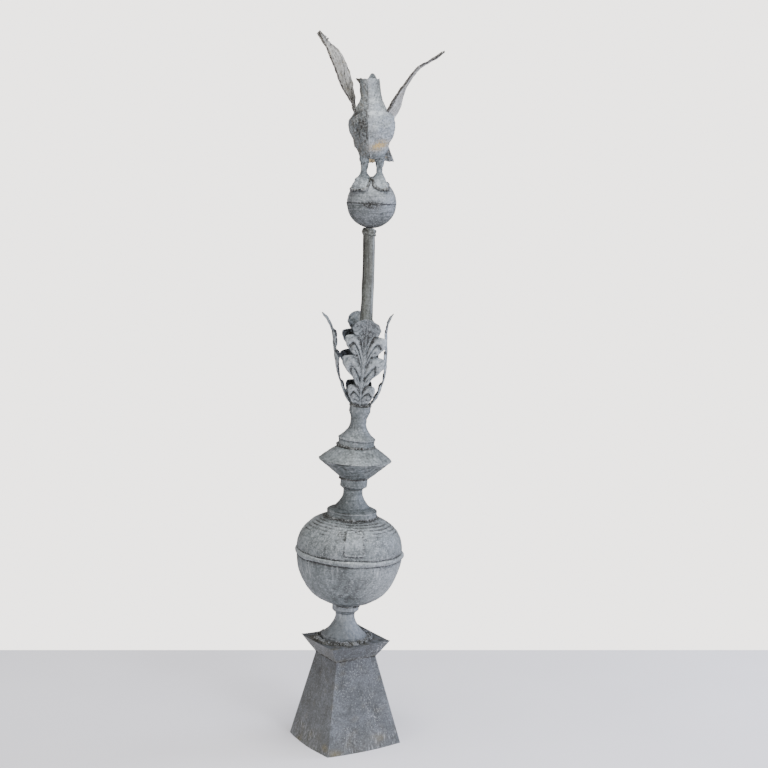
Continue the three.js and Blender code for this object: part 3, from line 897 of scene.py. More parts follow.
@dataclass(frozen=True)
class Globe:
    """The globe: a deep lower bowl rolled out into a bead, and a fuller upper half with a patch on it."""

    radius: float
    depth: float
    rise: float
    fullness: float
    bead_height: float
    bead_proud: float
    lower_seat: float
    upper_seat: float
    patch_turn: float
    patch_size: tuple[float, float] = (0.042, 0.050)
    patch_height: float = 0.037
    patch_edge: float = 0.0012
    line_shares: tuple[float, ...] = (0.6, 0.68, 0.75, 0.81, 0.86, 0.9)
    columns: int = 200

    @property
    def seat_height(self) -> float:
        """How high the bowl's rim lies over its seat on the neck below."""
        return self.depth * math.sqrt(1 - (self.lower_seat / self.radius) ** 2)

    @property
    def lower_height(self) -> float:
        """The height of the lower half with its bead."""
        return self.seat_height + self.bead_height

    @property
    def upper_height(self) -> float:
        """The height of the upper half up to the neck on it."""
        return self.rise * (1 - (self.upper_seat / self.radius) ** self.fullness) ** (1 / self.fullness)

    def lower(self, place: Place, finish: AgedZinc) -> bpy.types.Object:
        """Builds the lower half. The bowl is an ellipse in height, and its bead is half a circle.

        Args:
            place: Where the middle of its foot stands.
            finish: Its finish.

        Returns:
            The piece.
        """
        rim = self.seat_height
        levels = np.linspace(0, rim, 60)
        bowl = self.radius * np.sqrt(1 - ((rim - levels) / self.depth) ** 2)
        part = np.linspace(0.02, 0.98, 14)
        bead = self.radius + self.bead_proud * np.sin(math.pi * part) ** 0.7
        corners = [(0, 0), *zip(bowl, levels), *zip(bead, rim + self.bead_height * part)]
        corners += [(self.radius - 0.001, self.lower_height), (0, self.lower_height)]
        grid = turned_grid(eased_profile(corners, 0.0018, 0.001), self.columns)
        level = grid[..., 2]
        torn = ease(waves(grid * np.array([1, 1, 0.2]), 0.03, 34), 0.2, 1.0)
        relief = knocked(grid, 31, (0.0006, 0.08), (0.00012, 0.014), (0.012, 0.0012, 10))
        relief = relief - 0.0008 * hump(level, rim - 0.001, 0.0015) * (0.6 + 0.4 * torn)
        relief = relief + 0.0007 * hump(level, rim - 0.008, 0.0018) * torn
        grid = raised(grid, True, relief)
        grime_and_shade = 0.95 * hump(level, rim - 0.0012, 0.0014)
        cracks = hump(level, rim - 0.0052, 0.001) + 0.6 * hump(level, rim - 0.011, 0.001)
        grime_and_shade = grime_and_shade + 0.75 * cracks * torn
        grime_and_shade = grime_and_shade + 0.9 * hump(level, 0, 0.0035) + 0.3 * ease(-waves(grid, 0.06, 36), 0.4, 2.0)
        around = np.arctan2(grid[..., 1], grid[..., 0])
        soaked = hump(around, math.radians(-88), 0.5) * ease(level, rim, 0.3 * rim)
        drips = ease(waves(grid * np.array([1, 1, 0.12]), 0.012, 37), -0.9, 1.1)
        grime_and_shade = grime_and_shade + 0.35 * (1 - ease(level, -0.001, 0.02)) + 0.55 * soaked * drips
        run = ease(level, 0.15 * self.depth, rim) * ease(waves(grid, 0.06, 35), -0.6, 1.2)
        # Painted reflection: the side of the bowl toward the lamps at the right is painted pale.
        painted_sheen = 0.8 * ease(np.cos(around - math.radians(-20)), 0.3, 1.0)
        skin = Skin("globe_lower_half")
        skin.add(grid, True, depth=0.001, hollow=grime_and_shade, run=run, wear=painted_sheen)
        return skin.build(place, finish, "weathered_zinc", "globe_lower_half")

    def upper(self, place: Place, finish: AgedZinc) -> bpy.types.Object:
        """Builds the upper half: a superellipse with turned lines near its top and a soldered patch.

        Args:
            place: Where the middle of its foot stands.
            finish: Its finish.

        Returns:
            The piece.
        """
        levels = self.upper_height * np.sin(np.linspace(0, math.pi / 2, 70))
        dome = self.radius * (1 - (levels / self.rise) ** self.fullness) ** (1 / self.fullness)
        corners = [(0, 0), *zip(dome, levels), (0, self.upper_height)]
        grid = turned_grid(eased_profile(corners, 0.0014, 0.0006), self.columns)
        level = grid[..., 2]
        around = np.arctan2(grid[..., 1], grid[..., 0])
        aside = self.radius * np.angle(np.exp(1j * (around - self.patch_turn)))
        lines = sum(hump(level, share * self.rise, 0.0011) for share in self.line_shares)
        lines = lines * ease(waves(grid * np.array([1, 1, 0.3]), 0.07, 46), -0.7, 0.8)
        patch = self.patch(aside, level)
        frame = self.patch(aside, level, 0.0012) * (1 - self.patch(aside, level, -0.0022))
        crust = hump(aside, -0.036, 0.016) * hump(level, 0.058, 0.008)
        crust = crust + 0.6 * ease(waves(grid, 0.03, 48), 0.9, 2.0) * hump(level, 0.0, 0.008)
        relief = knocked(grid, 41, (0.0006, 0.09), (0.00015, 0.013), (0.012, 0.001, 8))
        relief = relief - 0.0004 * lines + 0.0006 * patch
        relief = relief + 0.001 * frame * (1 + 0.7 * waves(grid, 0.005, 44))
        relief = relief + 0.0009 * crust * lumps(grid, 0.006, 45)
        grid = raised(grid, True, relief)
        grid[..., 2] = np.clip(grid[..., 2], 0, self.upper_height)
        grime_and_shade = 0.9 * lines + 0.95 * hump(level, 0.0012, 0.002)
        grime_and_shade = grime_and_shade + 0.95 * hump(level, self.upper_height, 0.002)
        grime_and_shade = grime_and_shade + 0.8 * crust * ease(waves(grid, 0.004, 47), 0.1, 0.8)
        edge = self.patch(aside, level, 0.0034) * (1 - self.patch(aside, level, 0.0008))
        grime_and_shade = grime_and_shade + 0.9 * edge * ease(waves(grid, 0.006, 49), -1.2, 0.4)
        grime_and_shade = grime_and_shade + 0.18 * (1 - patch) * ease(waves(grid, 0.03, 50), -1.0, 1.0)
        skin = Skin("globe_upper_half")
        flecks = 0.35 + 0 * level
        skin.add(grid, True, hollow=grime_and_shade, run=0.25 * (1 - patch), wear=1.2 * frame, chalk=flecks)
        return skin.build(place, finish, "weathered_zinc", "globe_upper_half")

    def patch(self, aside: np.ndarray, level: np.ndarray, margin: float = 0.0) -> np.ndarray:
        """The repair patch, an oblong: one inside it and nought outside, with a soft edge.

        Args:
            aside: How far each point lies round the globe from the patch's middle.
            level: Its height over the globe's seam.
            margin: How much the patch is grown.

        Returns:
            The share of the patch at each point.
        """
        width, height = self.patch_size
        across = ease(width / 2 + margin - np.abs(aside), 0, self.patch_edge)
        upright = height / 2 + margin - np.abs(level - self.patch_height)
        return across * ease(upright, 0, self.patch_edge)


@dataclass(frozen=True)
class Disc:
    """The sharp-edged disc: two shallow cones soldered rim to rim."""

    radius: float
    depth: float
    rise: float
    edge: float
    lower_seat: float
    upper_seat: float
    columns: int = 180

    def cone(self, half: Half, place: Place, finish: AgedZinc) -> bpy.types.Object:
        """Builds one cone: its radius grows evenly from its seat to the rim.

        Args:
            half: Which of the two.
            place: Where the middle of its lower face stands.
            finish: Its finish.

        Returns:
            The piece.
        """
        low = half is Half.LOWER
        height = self.depth if low else self.rise
        if low:
            corners = [(0, 0), (self.lower_seat, 0), (self.radius, height - self.edge)]
            corners += [(self.radius, height), (0, height)]
        else:
            corners = [(0, 0), (self.radius, 0), (self.radius, self.edge)]
            corners += [(self.upper_seat, height), (0, height)]
        grid = turned_grid(eased_profile(corners, 0.0013, 0.0005), self.columns)
        seed = 51 if low else 56
        relief = knocked(grid, seed, (0.0006, 0.05), (0.00015, 0.01), (0.01, 0.0012, 7))
        grid = raised(grid, True, relief)
        grid[..., 2] = np.clip(grid[..., 2], 0, height)
        seam = hump(grid[..., 2], 0.0 if low else height, 0.0025)
        rim = hump(grid[..., 2], height if low else 0.0, 0.0012)
        patchy = ease(waves(grid, 0.03, seed + 3), -0.6, 1.0)
        grime = (0.45 if low else 0.3) * ease(waves(grid, 0.02, seed + 4), 0.0, 1.6)
        grime_and_shade = 0.9 * seam + 0.5 * rim * patchy + grime
        name = f"disc_{half.value}_cone"
        skin = Skin(name).add(grid, True, hollow=grime_and_shade, run=0.3 * patchy, wear=0.5 * rim * (1 - patchy))
        return skin.build(place, finish, "weathered_zinc", name)


@dataclass(frozen=True)
class SolderRing:
    """A ring of old solder run round a joint: a low crust of uneven width, broken into small lumps."""

    name: str
    bore: float
    width: float
    height: float
    lump: float
    seed: int
    columns: int = 320
    rows: int = 40

    def build(self, place: Place, finish: AgedZinc, *nodes: str) -> bpy.types.Object:
        """Builds the ring: half an ellipse in section, swollen and shrunk by lumps.

        Args:
            place: Where the middle of its underside stands.
            finish: Its finish.
            *nodes: The CAD nodes that it stands for.

        Returns:
            The piece.
        """
        around = round_angles(self.columns)
        section = np.linspace(0, FULL_TURN, self.rows)[:, None]
        circle = self.bore * np.stack([np.cos(around), np.sin(around), 0 * around], axis=-1)[None]
        spread = 0.84 + 0.1 * waves(circle, 2 * self.width, self.seed)
        spread = spread + 0.06 * waves(circle, self.lump, self.seed + 4)
        spread = self.width * np.clip(spread, 0.4, 1)
        radius = self.bore + spread * (0.5 + 0.5 * np.cos(section))
        level = np.broadcast_to(self.height * np.maximum(0, np.sin(section)) ** 0.6, radius.shape)
        grid = np.stack([radius * np.cos(around), radius * np.sin(around), level], axis=-1)
        heap = lumps(grid, self.lump, self.seed + 1)
        tall = 0.3 + 0.28 * heap + 0.16 * waves(grid, 4 * self.lump, self.seed + 2)
        tall = tall + 0.1 * waves(grid, 0.35 * self.lump, self.seed + 3)
        grid[..., 2] = level * np.clip(tall, 0.08, 1)
        pits = 0.9 * ease(0.55 - heap, 0, 0.45)
        bright = ease(waves(grid, 3 * self.lump, self.seed + 5), -0.2, 1.0)
        tops = 0.95 * bright * ease(heap, 0.45, 0.85)
        skin = Skin(self.name).add(grid, True, depth=0.0012, rounds=5, hollow=pits, wear=tops, chalk=bright)
        return skin.build(place, finish, "old_solder", *nodes)


# How far round the back leaf may reach to either side, where its neighbours leave it more room.
BACK_LEAF_ROOM = (math.radians(43), math.radians(52))


@dataclass(frozen=True)
class Lobe:
    """One lobe pair of a leaf: where it starts and ends up the leaf, its narrow and wide reach, and how
    late it swells."""

    start: float
    end: float
    notch: float
    reach: float
    swell: float


@dataclass(frozen=True)
class AcanthusLeaf:
    """A stamped acanthus leaf: a midrib, and pairs of lobes that climb and roll over at their tips."""

    name: str
    faces: float
    opening: float
    aside: float
    seed: int
    height: float = 0.204
    thickness: float = 0.0014
    foot: float = 0.0216
    bulge: float = 0.028
    flare: float = 0.037
    curl: float = 0.007
    climb: float = 2.3
    lobe_point: float = 0.84
    crown_start: float = 0.875
    stamping: float = 1.0
    clear_angles: tuple[float, float] = (math.radians(43), math.radians(43))
    lobes: tuple[Lobe, ...] = (
        Lobe(0.03, 0.24, 0.0205, 0.0300, 1.0),
        Lobe(0.24, 0.585, 0.0125, 0.0490, 1.9),
        Lobe(0.585, 0.805, 0.019, 0.0465, 0.75),
        Lobe(0.805, 1.001, 0.024, 0.0345, 0.85),
    )
    rows: int = 190
    columns: int = 64

    def spine(self, share: np.ndarray) -> np.ndarray:
        """The midrib's distance from the shaft's axis: a bulge, a late flare and the leaf's own opening.

        Args:
            share: Shares of the leaf's height.

        Returns:
            The distance at each.
        """
        risen = np.clip(share, 0, 1.01)
        swell = self.bulge * np.sin(math.pi * risen**0.85)
        return self.foot + swell + self.flare * risen**6 + self.opening * risen**1.5

    def lobe_at(self, share: np.ndarray) -> tuple[np.ndarray, np.ndarray, np.ndarray, np.ndarray]:
        """Which lobe pair a share of the height belongs to.

        Args:
            share: Shares of the leaf's height.

        Returns:
            How far up its pair each share lies, and the pair's notch, reach and swell.
        """
        ends = np.array([lobe.end for lobe in self.lobes])
        index = np.clip(np.searchsorted(ends, share, side="right"), 0, len(ends) - 1)
        start, end, notch, reach, swell = (
            np.array([getattr(lobe, part) for lobe in self.lobes])[index]
            for part in ("start", "end", "notch", "reach", "swell")
        )
        return np.clip((share - start) / (end - start), 0, 1), notch, reach, swell

    def half_width(self, share: np.ndarray) -> np.ndarray:
        """Half the leaf's width: a lobe widens as a sine up to its point, scalloped, and closes in a
        quarter round, and the crown closes to nothing in an arch.

        Args:
            share: Shares of the leaf's height.

        Returns:
            Half the width at each.
        """
        within, notch, reach, swell = self.lobe_at(share)
        widening = np.sin(math.pi / 2 * np.clip(within / self.lobe_point, 0, 1)) ** swell
        past = np.clip((within - self.lobe_point) / (1 - self.lobe_point), 0, 1)
        closing = np.sqrt(1 - past**2.4)
        scallop = 0.0015 * (np.abs(np.sin(3.5 * math.pi * within)) - 0.5) * np.sin(math.pi * within)
        arch = (share - self.crown_start) / (1 - self.crown_start)
        arch = np.sqrt(np.clip(1 - arch**2, 0, 1))
        crown = self.lobes[-1]
        shoulder = crown.notch + (crown.reach - crown.notch) * 0.66
        whole = notch + (reach - notch) * widening * closing + scallop
        return np.where(share > self.crown_start, (shoulder + scallop) * arch, whole)

    def relief(self, across: np.ndarray, edge: np.ndarray) -> np.ndarray:
        """The stamping: each lobe is a cushion with a rolled upper rim and two grooves under it, valleys
        part the lobes, its tips roll back, and a rib runs up the middle.

        Args:
            across: From minus one to one over the leaf's width.
            edge: The share of the height at which each point's row meets the edge.

        Returns:
            Heights over the plain sheet.
        """
        within = self.lobe_at(edge)[0]
        out = np.abs(across)
        hook = 0.3 * ease(out, 0.48, 0.98)
        grown = ease(out, 0.05, 0.22) * (1 - 0.85 * ease(edge, 0.81, 0.87))
        cushion = 0.0016 * np.sin(math.pi * within) ** 0.7
        rim = 0.0018 * hump(within, 0.86 - hook, 0.1)
        groove = -0.0034 * hump(within, 0.66 - hook, 0.1) * (1 - ease(out, 0.84, 0.98))
        fold = 0.0010 * hump(within, 0.42 - hook, 0.09) - 0.0010 * hump(within, 0.24, 0.07)
        valley = -0.0014 * (hump(within, 0.0, 0.06) + hump(within, 1.0, 0.05))
        rolled = -0.0036 * ease(out, 0.86, 1.0) ** 1.5
        rib = 0.0012 * hump(out, 0.0, 0.06) - 0.0008 * hump(out, 0.14, 0.05)
        return self.stamping * (grown * (cushion + rim + groove + fold + valley + rolled) + rib)

    def build(self, place: Place, finish: AgedZinc) -> bpy.types.Object:
        """Builds the leaf. Its rows rise steeply beside the midrib and bend out level toward the tips of
        the lobes, and its width stays in its own quarter.

        Args:
            place: Where the calyx stands.
            finish: Its finish.

        Returns:
            The piece.
        """
        height = math.sqrt(self.height**2 - self.opening**2)
        along, across = np.meshgrid(
            np.linspace(0, 1, self.rows) ** 1.35, np.linspace(-1, 1, self.columns), indexing="ij"
        )
        edge = 1 - (1 - along) ** self.climb
        out = np.abs(across)
        share = along + (edge - along) * np.sin(1.75 * (1 - (1 - out) ** 1.5)) / math.sin(1.75)
        spine = self.spine(share)
        walk = np.linspace(0, 1.02, 400)
        steep = np.interp(share, walk, np.gradient(self.spine(walk), (walk[1] - walk[0]) * height))
        room = (spine - self.curl) * np.tan(np.where(across < 0, *self.clear_angles))
        half = np.minimum(self.half_width(edge), room)
        rise = self.relief(across, edge)
        plain = np.stack([spine, across * half, share * height], axis=-1)
        rise = rise + 0.0005 * waves(plain, 0.03, self.seed) + 0.0002 * waves(plain, 0.008, self.seed + 1)
        curl = self.curl * (half / self.lobes[1].reach) ** 2 * across**2
        length = np.hypot(1, steep)
        sideways = across * half + self.aside * np.clip(share, 0, 1) ** 4
        level = share * height - rise * steep / length + 0.0024
        middle = np.stack([spine - curl + rise / length, sideways, level], axis=-1)
        within = self.lobe_at(edge)[0]
        hook = 0.3 * ease(out, 0.48, 0.98)
        grown = ease(out, 0.05, 0.2) * (1 - 0.8 * ease(edge, 0.81, 0.87))
        # Grime and painted shade in the grooves under the rims, in the valleys between lobes, beside the
        # midrib, over the crown and at the foot.
        grime_and_shade = 0.42 * grown * hump(within, 0.62 - hook, 0.15) * (1 - ease(out, 0.72, 0.95))
        grime_and_shade = grime_and_shade + 0.15 * grown * hump(within, 0.25, 0.08)
        grime_and_shade = grime_and_shade + 0.5 * grown * (hump(within, 0.0, 0.07) + hump(within, 1.0, 0.04))
        grime_and_shade = grime_and_shade + 0.22 * (1 - ease(out, 0.15, 0.4)) + 0.22 * ease(edge, 0.81, 0.9)
        grime_and_shade = grime_and_shade + 0.7 * hump(share, 0.0, 0.02)
        # Wear and painted highlight on the rolled rims and folds of the lobes. Washed streaks follow them.
        light = grown * (0.95 * hump(within, 0.86 - hook, 0.11) + 0.3 * hump(within, 0.42 - hook, 0.1))
        # Painted shade: the leaf's inner face is darkened up to its crown, as the shade inside the calyx.
        shade = 0.78 * (1 - ease(share, 0.8, 0.93)) * np.ones(share.shape)
        skin = Skin(self.name)
        skin.add_sheet(
            middle,
            self.thickness * np.ones(share.shape),
            behind={"hollow": shade},
            hollow=grime_and_shade,
            wear=light,
            run=0.4 * light,
            chalk=0.3 + 0 * light,
        )
        own = place.inner((0, 0, 0), about_z(math.radians(self.faces)))
        return skin.build(own, finish, "stamped_zinc", self.name)


@dataclass(frozen=True)
class Stem:
    """The bent tube that carries the orb, and the collar under it."""

    foot_radius: float
    top_radius: float
    length: float
    low_bend: float
    high_bend: float
    top_shift: float
    collar_height: float
    collar_wall: float
    collar_drop: float = 0.0025
    seam_at: float = math.radians(75)
    shade_at: float = math.radians(200)
    columns: int = 72
    rows: int = 170

    def middle(self, share: np.ndarray) -> np.ndarray:
        """The centreline: its sideways shift is a cubic of the height, and it doesn't leave its plane.

        Args:
            share: Shares of the stem's length.

        Returns:
            A point for each.
        """
        t = np.asarray(share, dtype=float)
        shift = 3 * self.low_bend * t * (1 - t) ** 2 + 3 * self.high_bend * t**2 * (1 - t)
        return np.stack([shift + self.top_shift * t**3, 0 * t, self.length * t], axis=-1)

    def tube(self, start: float, end: float, extra: np.ndarray, rows: int) -> np.ndarray:
        """A tube round the centreline, each ring level and its radius running evenly from foot to top.

        Args:
            start: The share of the length at which it starts.
            end: The share at which it ends.
            extra: What each ring's radius is greater by.
            rows: How many rings it has.

        Returns:
            The grid of points.
        """
        share = np.linspace(start, end, rows)
        angle = round_angles(self.columns)
        radius = (self.foot_radius + (self.top_radius - self.foot_radius) * share + extra)[:, None]
        flat = np.stack([radius * np.cos(angle), radius * np.sin(angle), 0 * radius * angle], axis=-1)
        return self.middle(share)[:, None] + flat

    def build(self, place: Place, finish: AgedZinc) -> bpy.types.Object:
        """Builds the tube with its folded seam at the back.

        Args:
            place: Where its foot stands.
            finish: Its finish.

        Returns:
            The piece.
        """
        grid = self.tube(0, 1, np.zeros(self.rows), self.rows)
        angle = round_angles(self.columns)
        relief = 0.0003 * waves(grid, 0.06, 61) + dents(grid, 0.009, 0.0008, 62, 8)
        relief = relief + 0.0006 * hump(angle, self.seam_at, 0.12)
        grid = raised(grid, True, relief)
        closed = np.concatenate([pole(grid[:1]), grid, pole(grid[-1:])])
        # Painted shade: the side of the stem at shade_at is darkened, less so low down.
        shade = 0.5 * ease(np.cos(angle - self.shade_at), 0.0, 0.9)
        low = 1 - ease(closed[..., 2], 0.5 * self.length, 0.75 * self.length)
        streaks = ease(waves(closed * np.array([1, 1, 0.1]), 0.008, 63), 0.5, 1.7)
        grime_and_shade = shade * (1 - 0.8 * low) + 0.5 * streaks
        skin = Skin("stem").add(closed, True, hollow=grime_and_shade, run=0.9 - 0.4 * low, wear=1.8 * low)
        return skin.build(place, finish, "browned_zinc", "stem")

    def collar(self, place: Place, finish: AgedZinc) -> bpy.types.Object:
        """Builds the collar: a closed band round the stem's top, uneven as poured solder is.

        Args:
            place: Where the stem's foot stands.
            finish: Its finish.

        Returns:
            The piece.
        """
        rows = 26
        start = 1 - (self.collar_height + self.collar_drop) / self.length
        end = 1 - self.collar_drop / self.length
        section = np.linspace(0, 1, rows)
        wall = self.collar_wall * (0.45 + 0.55 * np.sin(math.pi * section) ** 0.5)
        outer = self.tube(start, end, wall, rows)
        outer = raised(outer, True, 0.0006 * waves(outer, 0.009, 64))
        inner = self.tube(start, end, 0.0004 + 0 * section, rows)
        loop = np.concatenate([outer, inner[::-1], outer[:1]])
        grime_and_shade = 0.8 * hump(np.arange(len(loop)), 0, 3)[:, None] * np.ones((1, self.columns))
        skin = Skin("stem_collar").add(loop, True, hollow=grime_and_shade)
        return skin.build(place, finish, "browned_zinc", "stem_collar")


@dataclass(frozen=True)
class Orb:
    """The orb of two hemispheres, lapped a little at the equator, with a stain on the lap in front."""

    radius: float
    stain_at: float = math.radians(-86)
    stain_width: float = math.radians(24)
    columns: int = 160
    rows: int = 80

    def half(self, half: Half, place: Place, finish: AgedZinc) -> bpy.types.Object:
        """Builds one hemisphere, with the lap of the lower half under the seam.

        Args:
            half: Which of the two.
            place: The orb's centre.
            finish: Its finish.

        Returns:
            The piece.
        """
        low = half is Half.LOWER
        gap = -SEAM / 2 if low else SEAM / 2
        arc = np.linspace(-math.pi / 2, 0, self.rows) if low else np.linspace(0, math.pi / 2, self.rows)
        line = list(zip(self.radius * np.cos(arc), self.radius * np.sin(arc) + gap))
        corners = [*line, (0, gap)] if low else [(0, gap), *line]
        grid = turned_grid(eased_profile(corners, 0.001, 0.0003), self.columns)
        level = grid[..., 2]
        seed = 71 if low else 76
        relief = knocked(grid, seed, (0.0006, 0.05), (0.00015, 0.009), (0.008, 0.0009, 7))
        relief = relief + (0.0006 if low else -0.0003) * hump(level, 0, 0.0018)
        grid = raised(grid, True, relief)
        grid[..., 2] = np.minimum(level, gap) if low else np.maximum(level, gap)
        around = np.arctan2(grid[..., 1], grid[..., 0])
        spread = ease(waves(grid, 0.04, seed + 3), -0.2, 1.6)
        grime_and_shade = 0.95 * hump(level, 0, 0.0016 + 0.0014 * spread)
        smear = hump(around, self.stain_at, self.stain_width) * hump(level, -0.002, 0.0085)
        grime_and_shade = grime_and_shade + 1.9 * smear * (0.75 + 0.2 * waves(grid * np.array([0.4, 0.4, 1]), 0.006, 79))
        # Painted shade: the lower half is darkened towards its bottom.
        grime_and_shade = grime_and_shade + (0.5 if low else 0.0) * ease(level, 0.1 * -self.radius, -self.radius)
        grime_and_shade = grime_and_shade + (0.9 if low else 0.0) * hump(level, -self.radius, 0.005)
        name = f"orb_{half.value}_half"
        # Painted light: the upper half is made pale.
        pale = (0.0 if low else 0.4) + 0 * spread
        skin = Skin(name).add(grid, True, hollow=grime_and_shade, run=0.3 * spread, wear=pale, chalk=0.25 + 0 * spread)
        return skin.build(place, finish, "weathered_zinc", name)


@dataclass(frozen=True)
class BirdBody:
    """The bird's body, empty inside, of two stamped halves, its neck broken open at the top.

    Stations hold, at shares of the height, the half width and the depths before and behind its axis, as
    shares of the greatest half width.
    """

    height: float = 0.172
    half_width: float = 0.052
    start: float = 0.042
    turn: float = math.radians(-8)
    neck_lean: float = -0.008
    wall: float = 0.0014
    cavity_floor: float = 0.42
    keel: float = 0.006
    keel_spread: float = 0.36
    rim_peak: float = 0.013
    rim_peak_at: float = math.radians(78)
    rim_peak_spread: float = 0.4
    rim_tear: float = 0.006
    lichen_at: tuple[float, float] = (0.020, 0.070)
    lichen_size: tuple[float, float] = (0.015, 0.008)
    columns: int = 168
    rows: int = 150
    stations: tuple[tuple[float, float, float, float], ...] = (
        (0, 0.4, 0.22, 0.45),
        (0.04, 0.56, 0.42, 0.75),
        (0.16, 0.7, 0.72, 1.12),
        (0.28, 0.86, 0.86, 1.16),
        (0.42, 1, 0.92, 0.98),
        (0.52, 0.9, 0.86, 0.8),
        (0.62, 0.68, 0.7, 0.62),
        (0.71, 0.48, 0.54, 0.5),
        (0.82, 0.43, 0.46, 0.43),
        (0.92, 0.42, 0.45, 0.43),
        (1, 0.46, 0.46, 0.45),
    )

    def rings(self, share: np.ndarray, margin: np.ndarray | float) -> np.ndarray:
        """Rings of the body: ellipses with their own depth before and behind, and a sharp keel in front.

        Args:
            share: The share of the height of each ring.
            margin: How much greater each size is.

        Returns:
            The grid of points, with the torn rim as its last row at a share of one.
        """
        offsets = np.linspace(-0.05, 0.05, 5)
        sizes = [at_stations(np.array(self.stations), np.clip(share + d, 0, 1)) for d in offsets]
        size = np.mean(sizes, axis=0) * self.half_width + margin
        angle = round_angles(self.columns)
        front = np.sin(angle) < 0
        from_keel = np.abs(angle - 1.5 * math.pi)
        keel = self.keel * np.exp(-from_keel / self.keel_spread) * (from_keel < math.pi / 2)
        keel = keel * (1 - 0.5 * ease(share, 0.75, 1.0))[:, None]
        rimmed = ease(share, 0.9, 1.0)[:, None] ** 2
        peak = self.rim_peak * hump(angle, self.rim_peak_at, self.rim_peak_spread)
        jag = 0.0009 * np.sin(5 * angle + 1) + 0.0006 * np.sin(13 * angle)
        jag = jag + 0.0025 * hump(angle, math.radians(190), 0.16) - 0.002 * hump(angle, 2.5, 0.2)
        tear = self.rim_tear * hump(angle, math.pi, 0.42)
        depth = np.where(front, size[:, 1:2] + keel, size[:, 2:3])
        x = size[:, :1] * np.cos(angle) - rimmed * tear + self.neck_lean * share[:, None] ** 3
        z = self.start + self.height * share[:, None] + rimmed * (peak + jag)
        return np.stack([x, depth * np.sin(angle), z], axis=-1)

    def build(self, place: Place, finish: AgedZinc) -> bpy.types.Object:
        """Builds the body as one skin, up the outside, over the torn rim and down the inside.

        Args:
            place: Where the bird stands.
            finish: Its finish.

        Returns:
            The piece.
        """
        outer = self.rings(np.linspace(0, 1, self.rows), 0.0)
        angle = round_angles(self.columns)
        share = np.linspace(0, 1, self.rows)[:, None]
        crumpled = hump(angle, 4.1, 0.4) * hump(share, 0.36, 0.16)
        plumage = ease(share, 0.02, 0.2) * (1 - ease(share, 0.6, 0.9))
        quills = np.abs(np.sin(31 * angle + 2.2 * waves(outer, 0.04, 87)))
        bead = hump(angle, 1.5 * math.pi, 0.035) * (1 + 0.5 * waves(outer, 0.006, 81))
        relief = 0.0007 * bead + 0.0004 * plumage * quills + 0.00025 * plumage * waves(outer, 0.005, 89)
        relief = relief + 0.0011 * waves(outer, 0.035, 82) + 0.0003 * waves(outer, 0.009, 83)
        relief = relief + 0.0013 * crumpled * waves(outer, 0.009, 90)
        outer = raised(outer, True, relief * (1 - 0.7 * share**8))
        within = np.linspace(1, self.cavity_floor, 30)
        inner = self.rings(within, -self.wall - 0.004 * (1 - ease(within, 0.9, 1.0))[:, None])
        grid = np.concatenate([pole(outer[:1]), outer, inner, pole(inner[-1:])])
        x, z = grid[..., 0], grid[..., 2]
        ahead = grid[..., 1] < 0
        grime_and_shade = np.zeros(grid.shape[:2])
        # Painted shade: the inside of the broken neck is darkened.
        grime_and_shade[self.rows + 3 :] = 0.9
        rough = ease(waves(grid * np.array([1, 1, 0.24]), 0.0045, 85), -0.8, 1.2)
        breast = hump(z, self.start + 0.38 * self.height, 0.036) * hump(angle, 4.32, 0.34)
        # Painted shade: the flank seen at the left, away from the key light, is darkened. The bottom of the
        # body is darker too.
        left = ease(-np.cos(angle - 0.35), -0.2, 0.9) * (angle > math.pi)
        under = 1 - ease(z, self.start, self.start + 0.03)
        wander = 0.05 * waves(np.stack([0 * z, 0 * z, z], axis=-1), 0.012, 84)
        risen = (z - self.start) / self.height
        # Painted shade in a thin line beside the keel.
        keel_shade = hump(angle + wander, 1.5 * math.pi - 0.12, 0.085)
        keel_shade = keel_shade * ease(risen, 0.1, 0.3) * (1 - ease(risen, 0.8, 1.0))
        grime_and_shade = grime_and_shade + 0.85 * breast * (0.6 + 0.4 * rough)
        grime_and_shade = grime_and_shade + (0.17 * left + 0.3 * under) * (0.45 + 0.55 * rough)
        grime_and_shade = grime_and_shade + 0.75 * keel_shade * (0.4 + 0.6 * rough)
        # Painted light: the flank seen at the right is painted pale, with a painted highlight along the
        # keel. Pale patches mottle the other flank, and washed streaks follow the pale.
        bright = 0.75 * ease(np.cos(angle + 0.75), 0.1, 0.95) * (1 - under)
        bright = bright + 0.9 * hump(angle, 1.5 * math.pi + 0.03, 0.06)
        bright = bright + 0.3 * left * (1 - breast) * (1 - rough)
        width, tall = self.lichen_size
        slant = (z - self.lichen_at[1]) - 0.35 * (x - self.lichen_at[0])
        lichen = np.exp(-(((x - self.lichen_at[0]) / width) ** 2) - (slant / tall) ** 2) * ahead
        lichen = 1.3 * lichen * ease(waves(grid, 0.006, 88), -2.2, 0.6) + 0.16 * left * rough
        skin = Skin("bird_body")
        skin.add(grid, True, depth=0.003, hollow=grime_and_shade, wear=bright, run=0.3 * bright, stain=lichen)
        own = place.inner((0, 0, 0), about_z(self.turn))
        return skin.build(own, finish, "stamped_zinc", "bird_body")


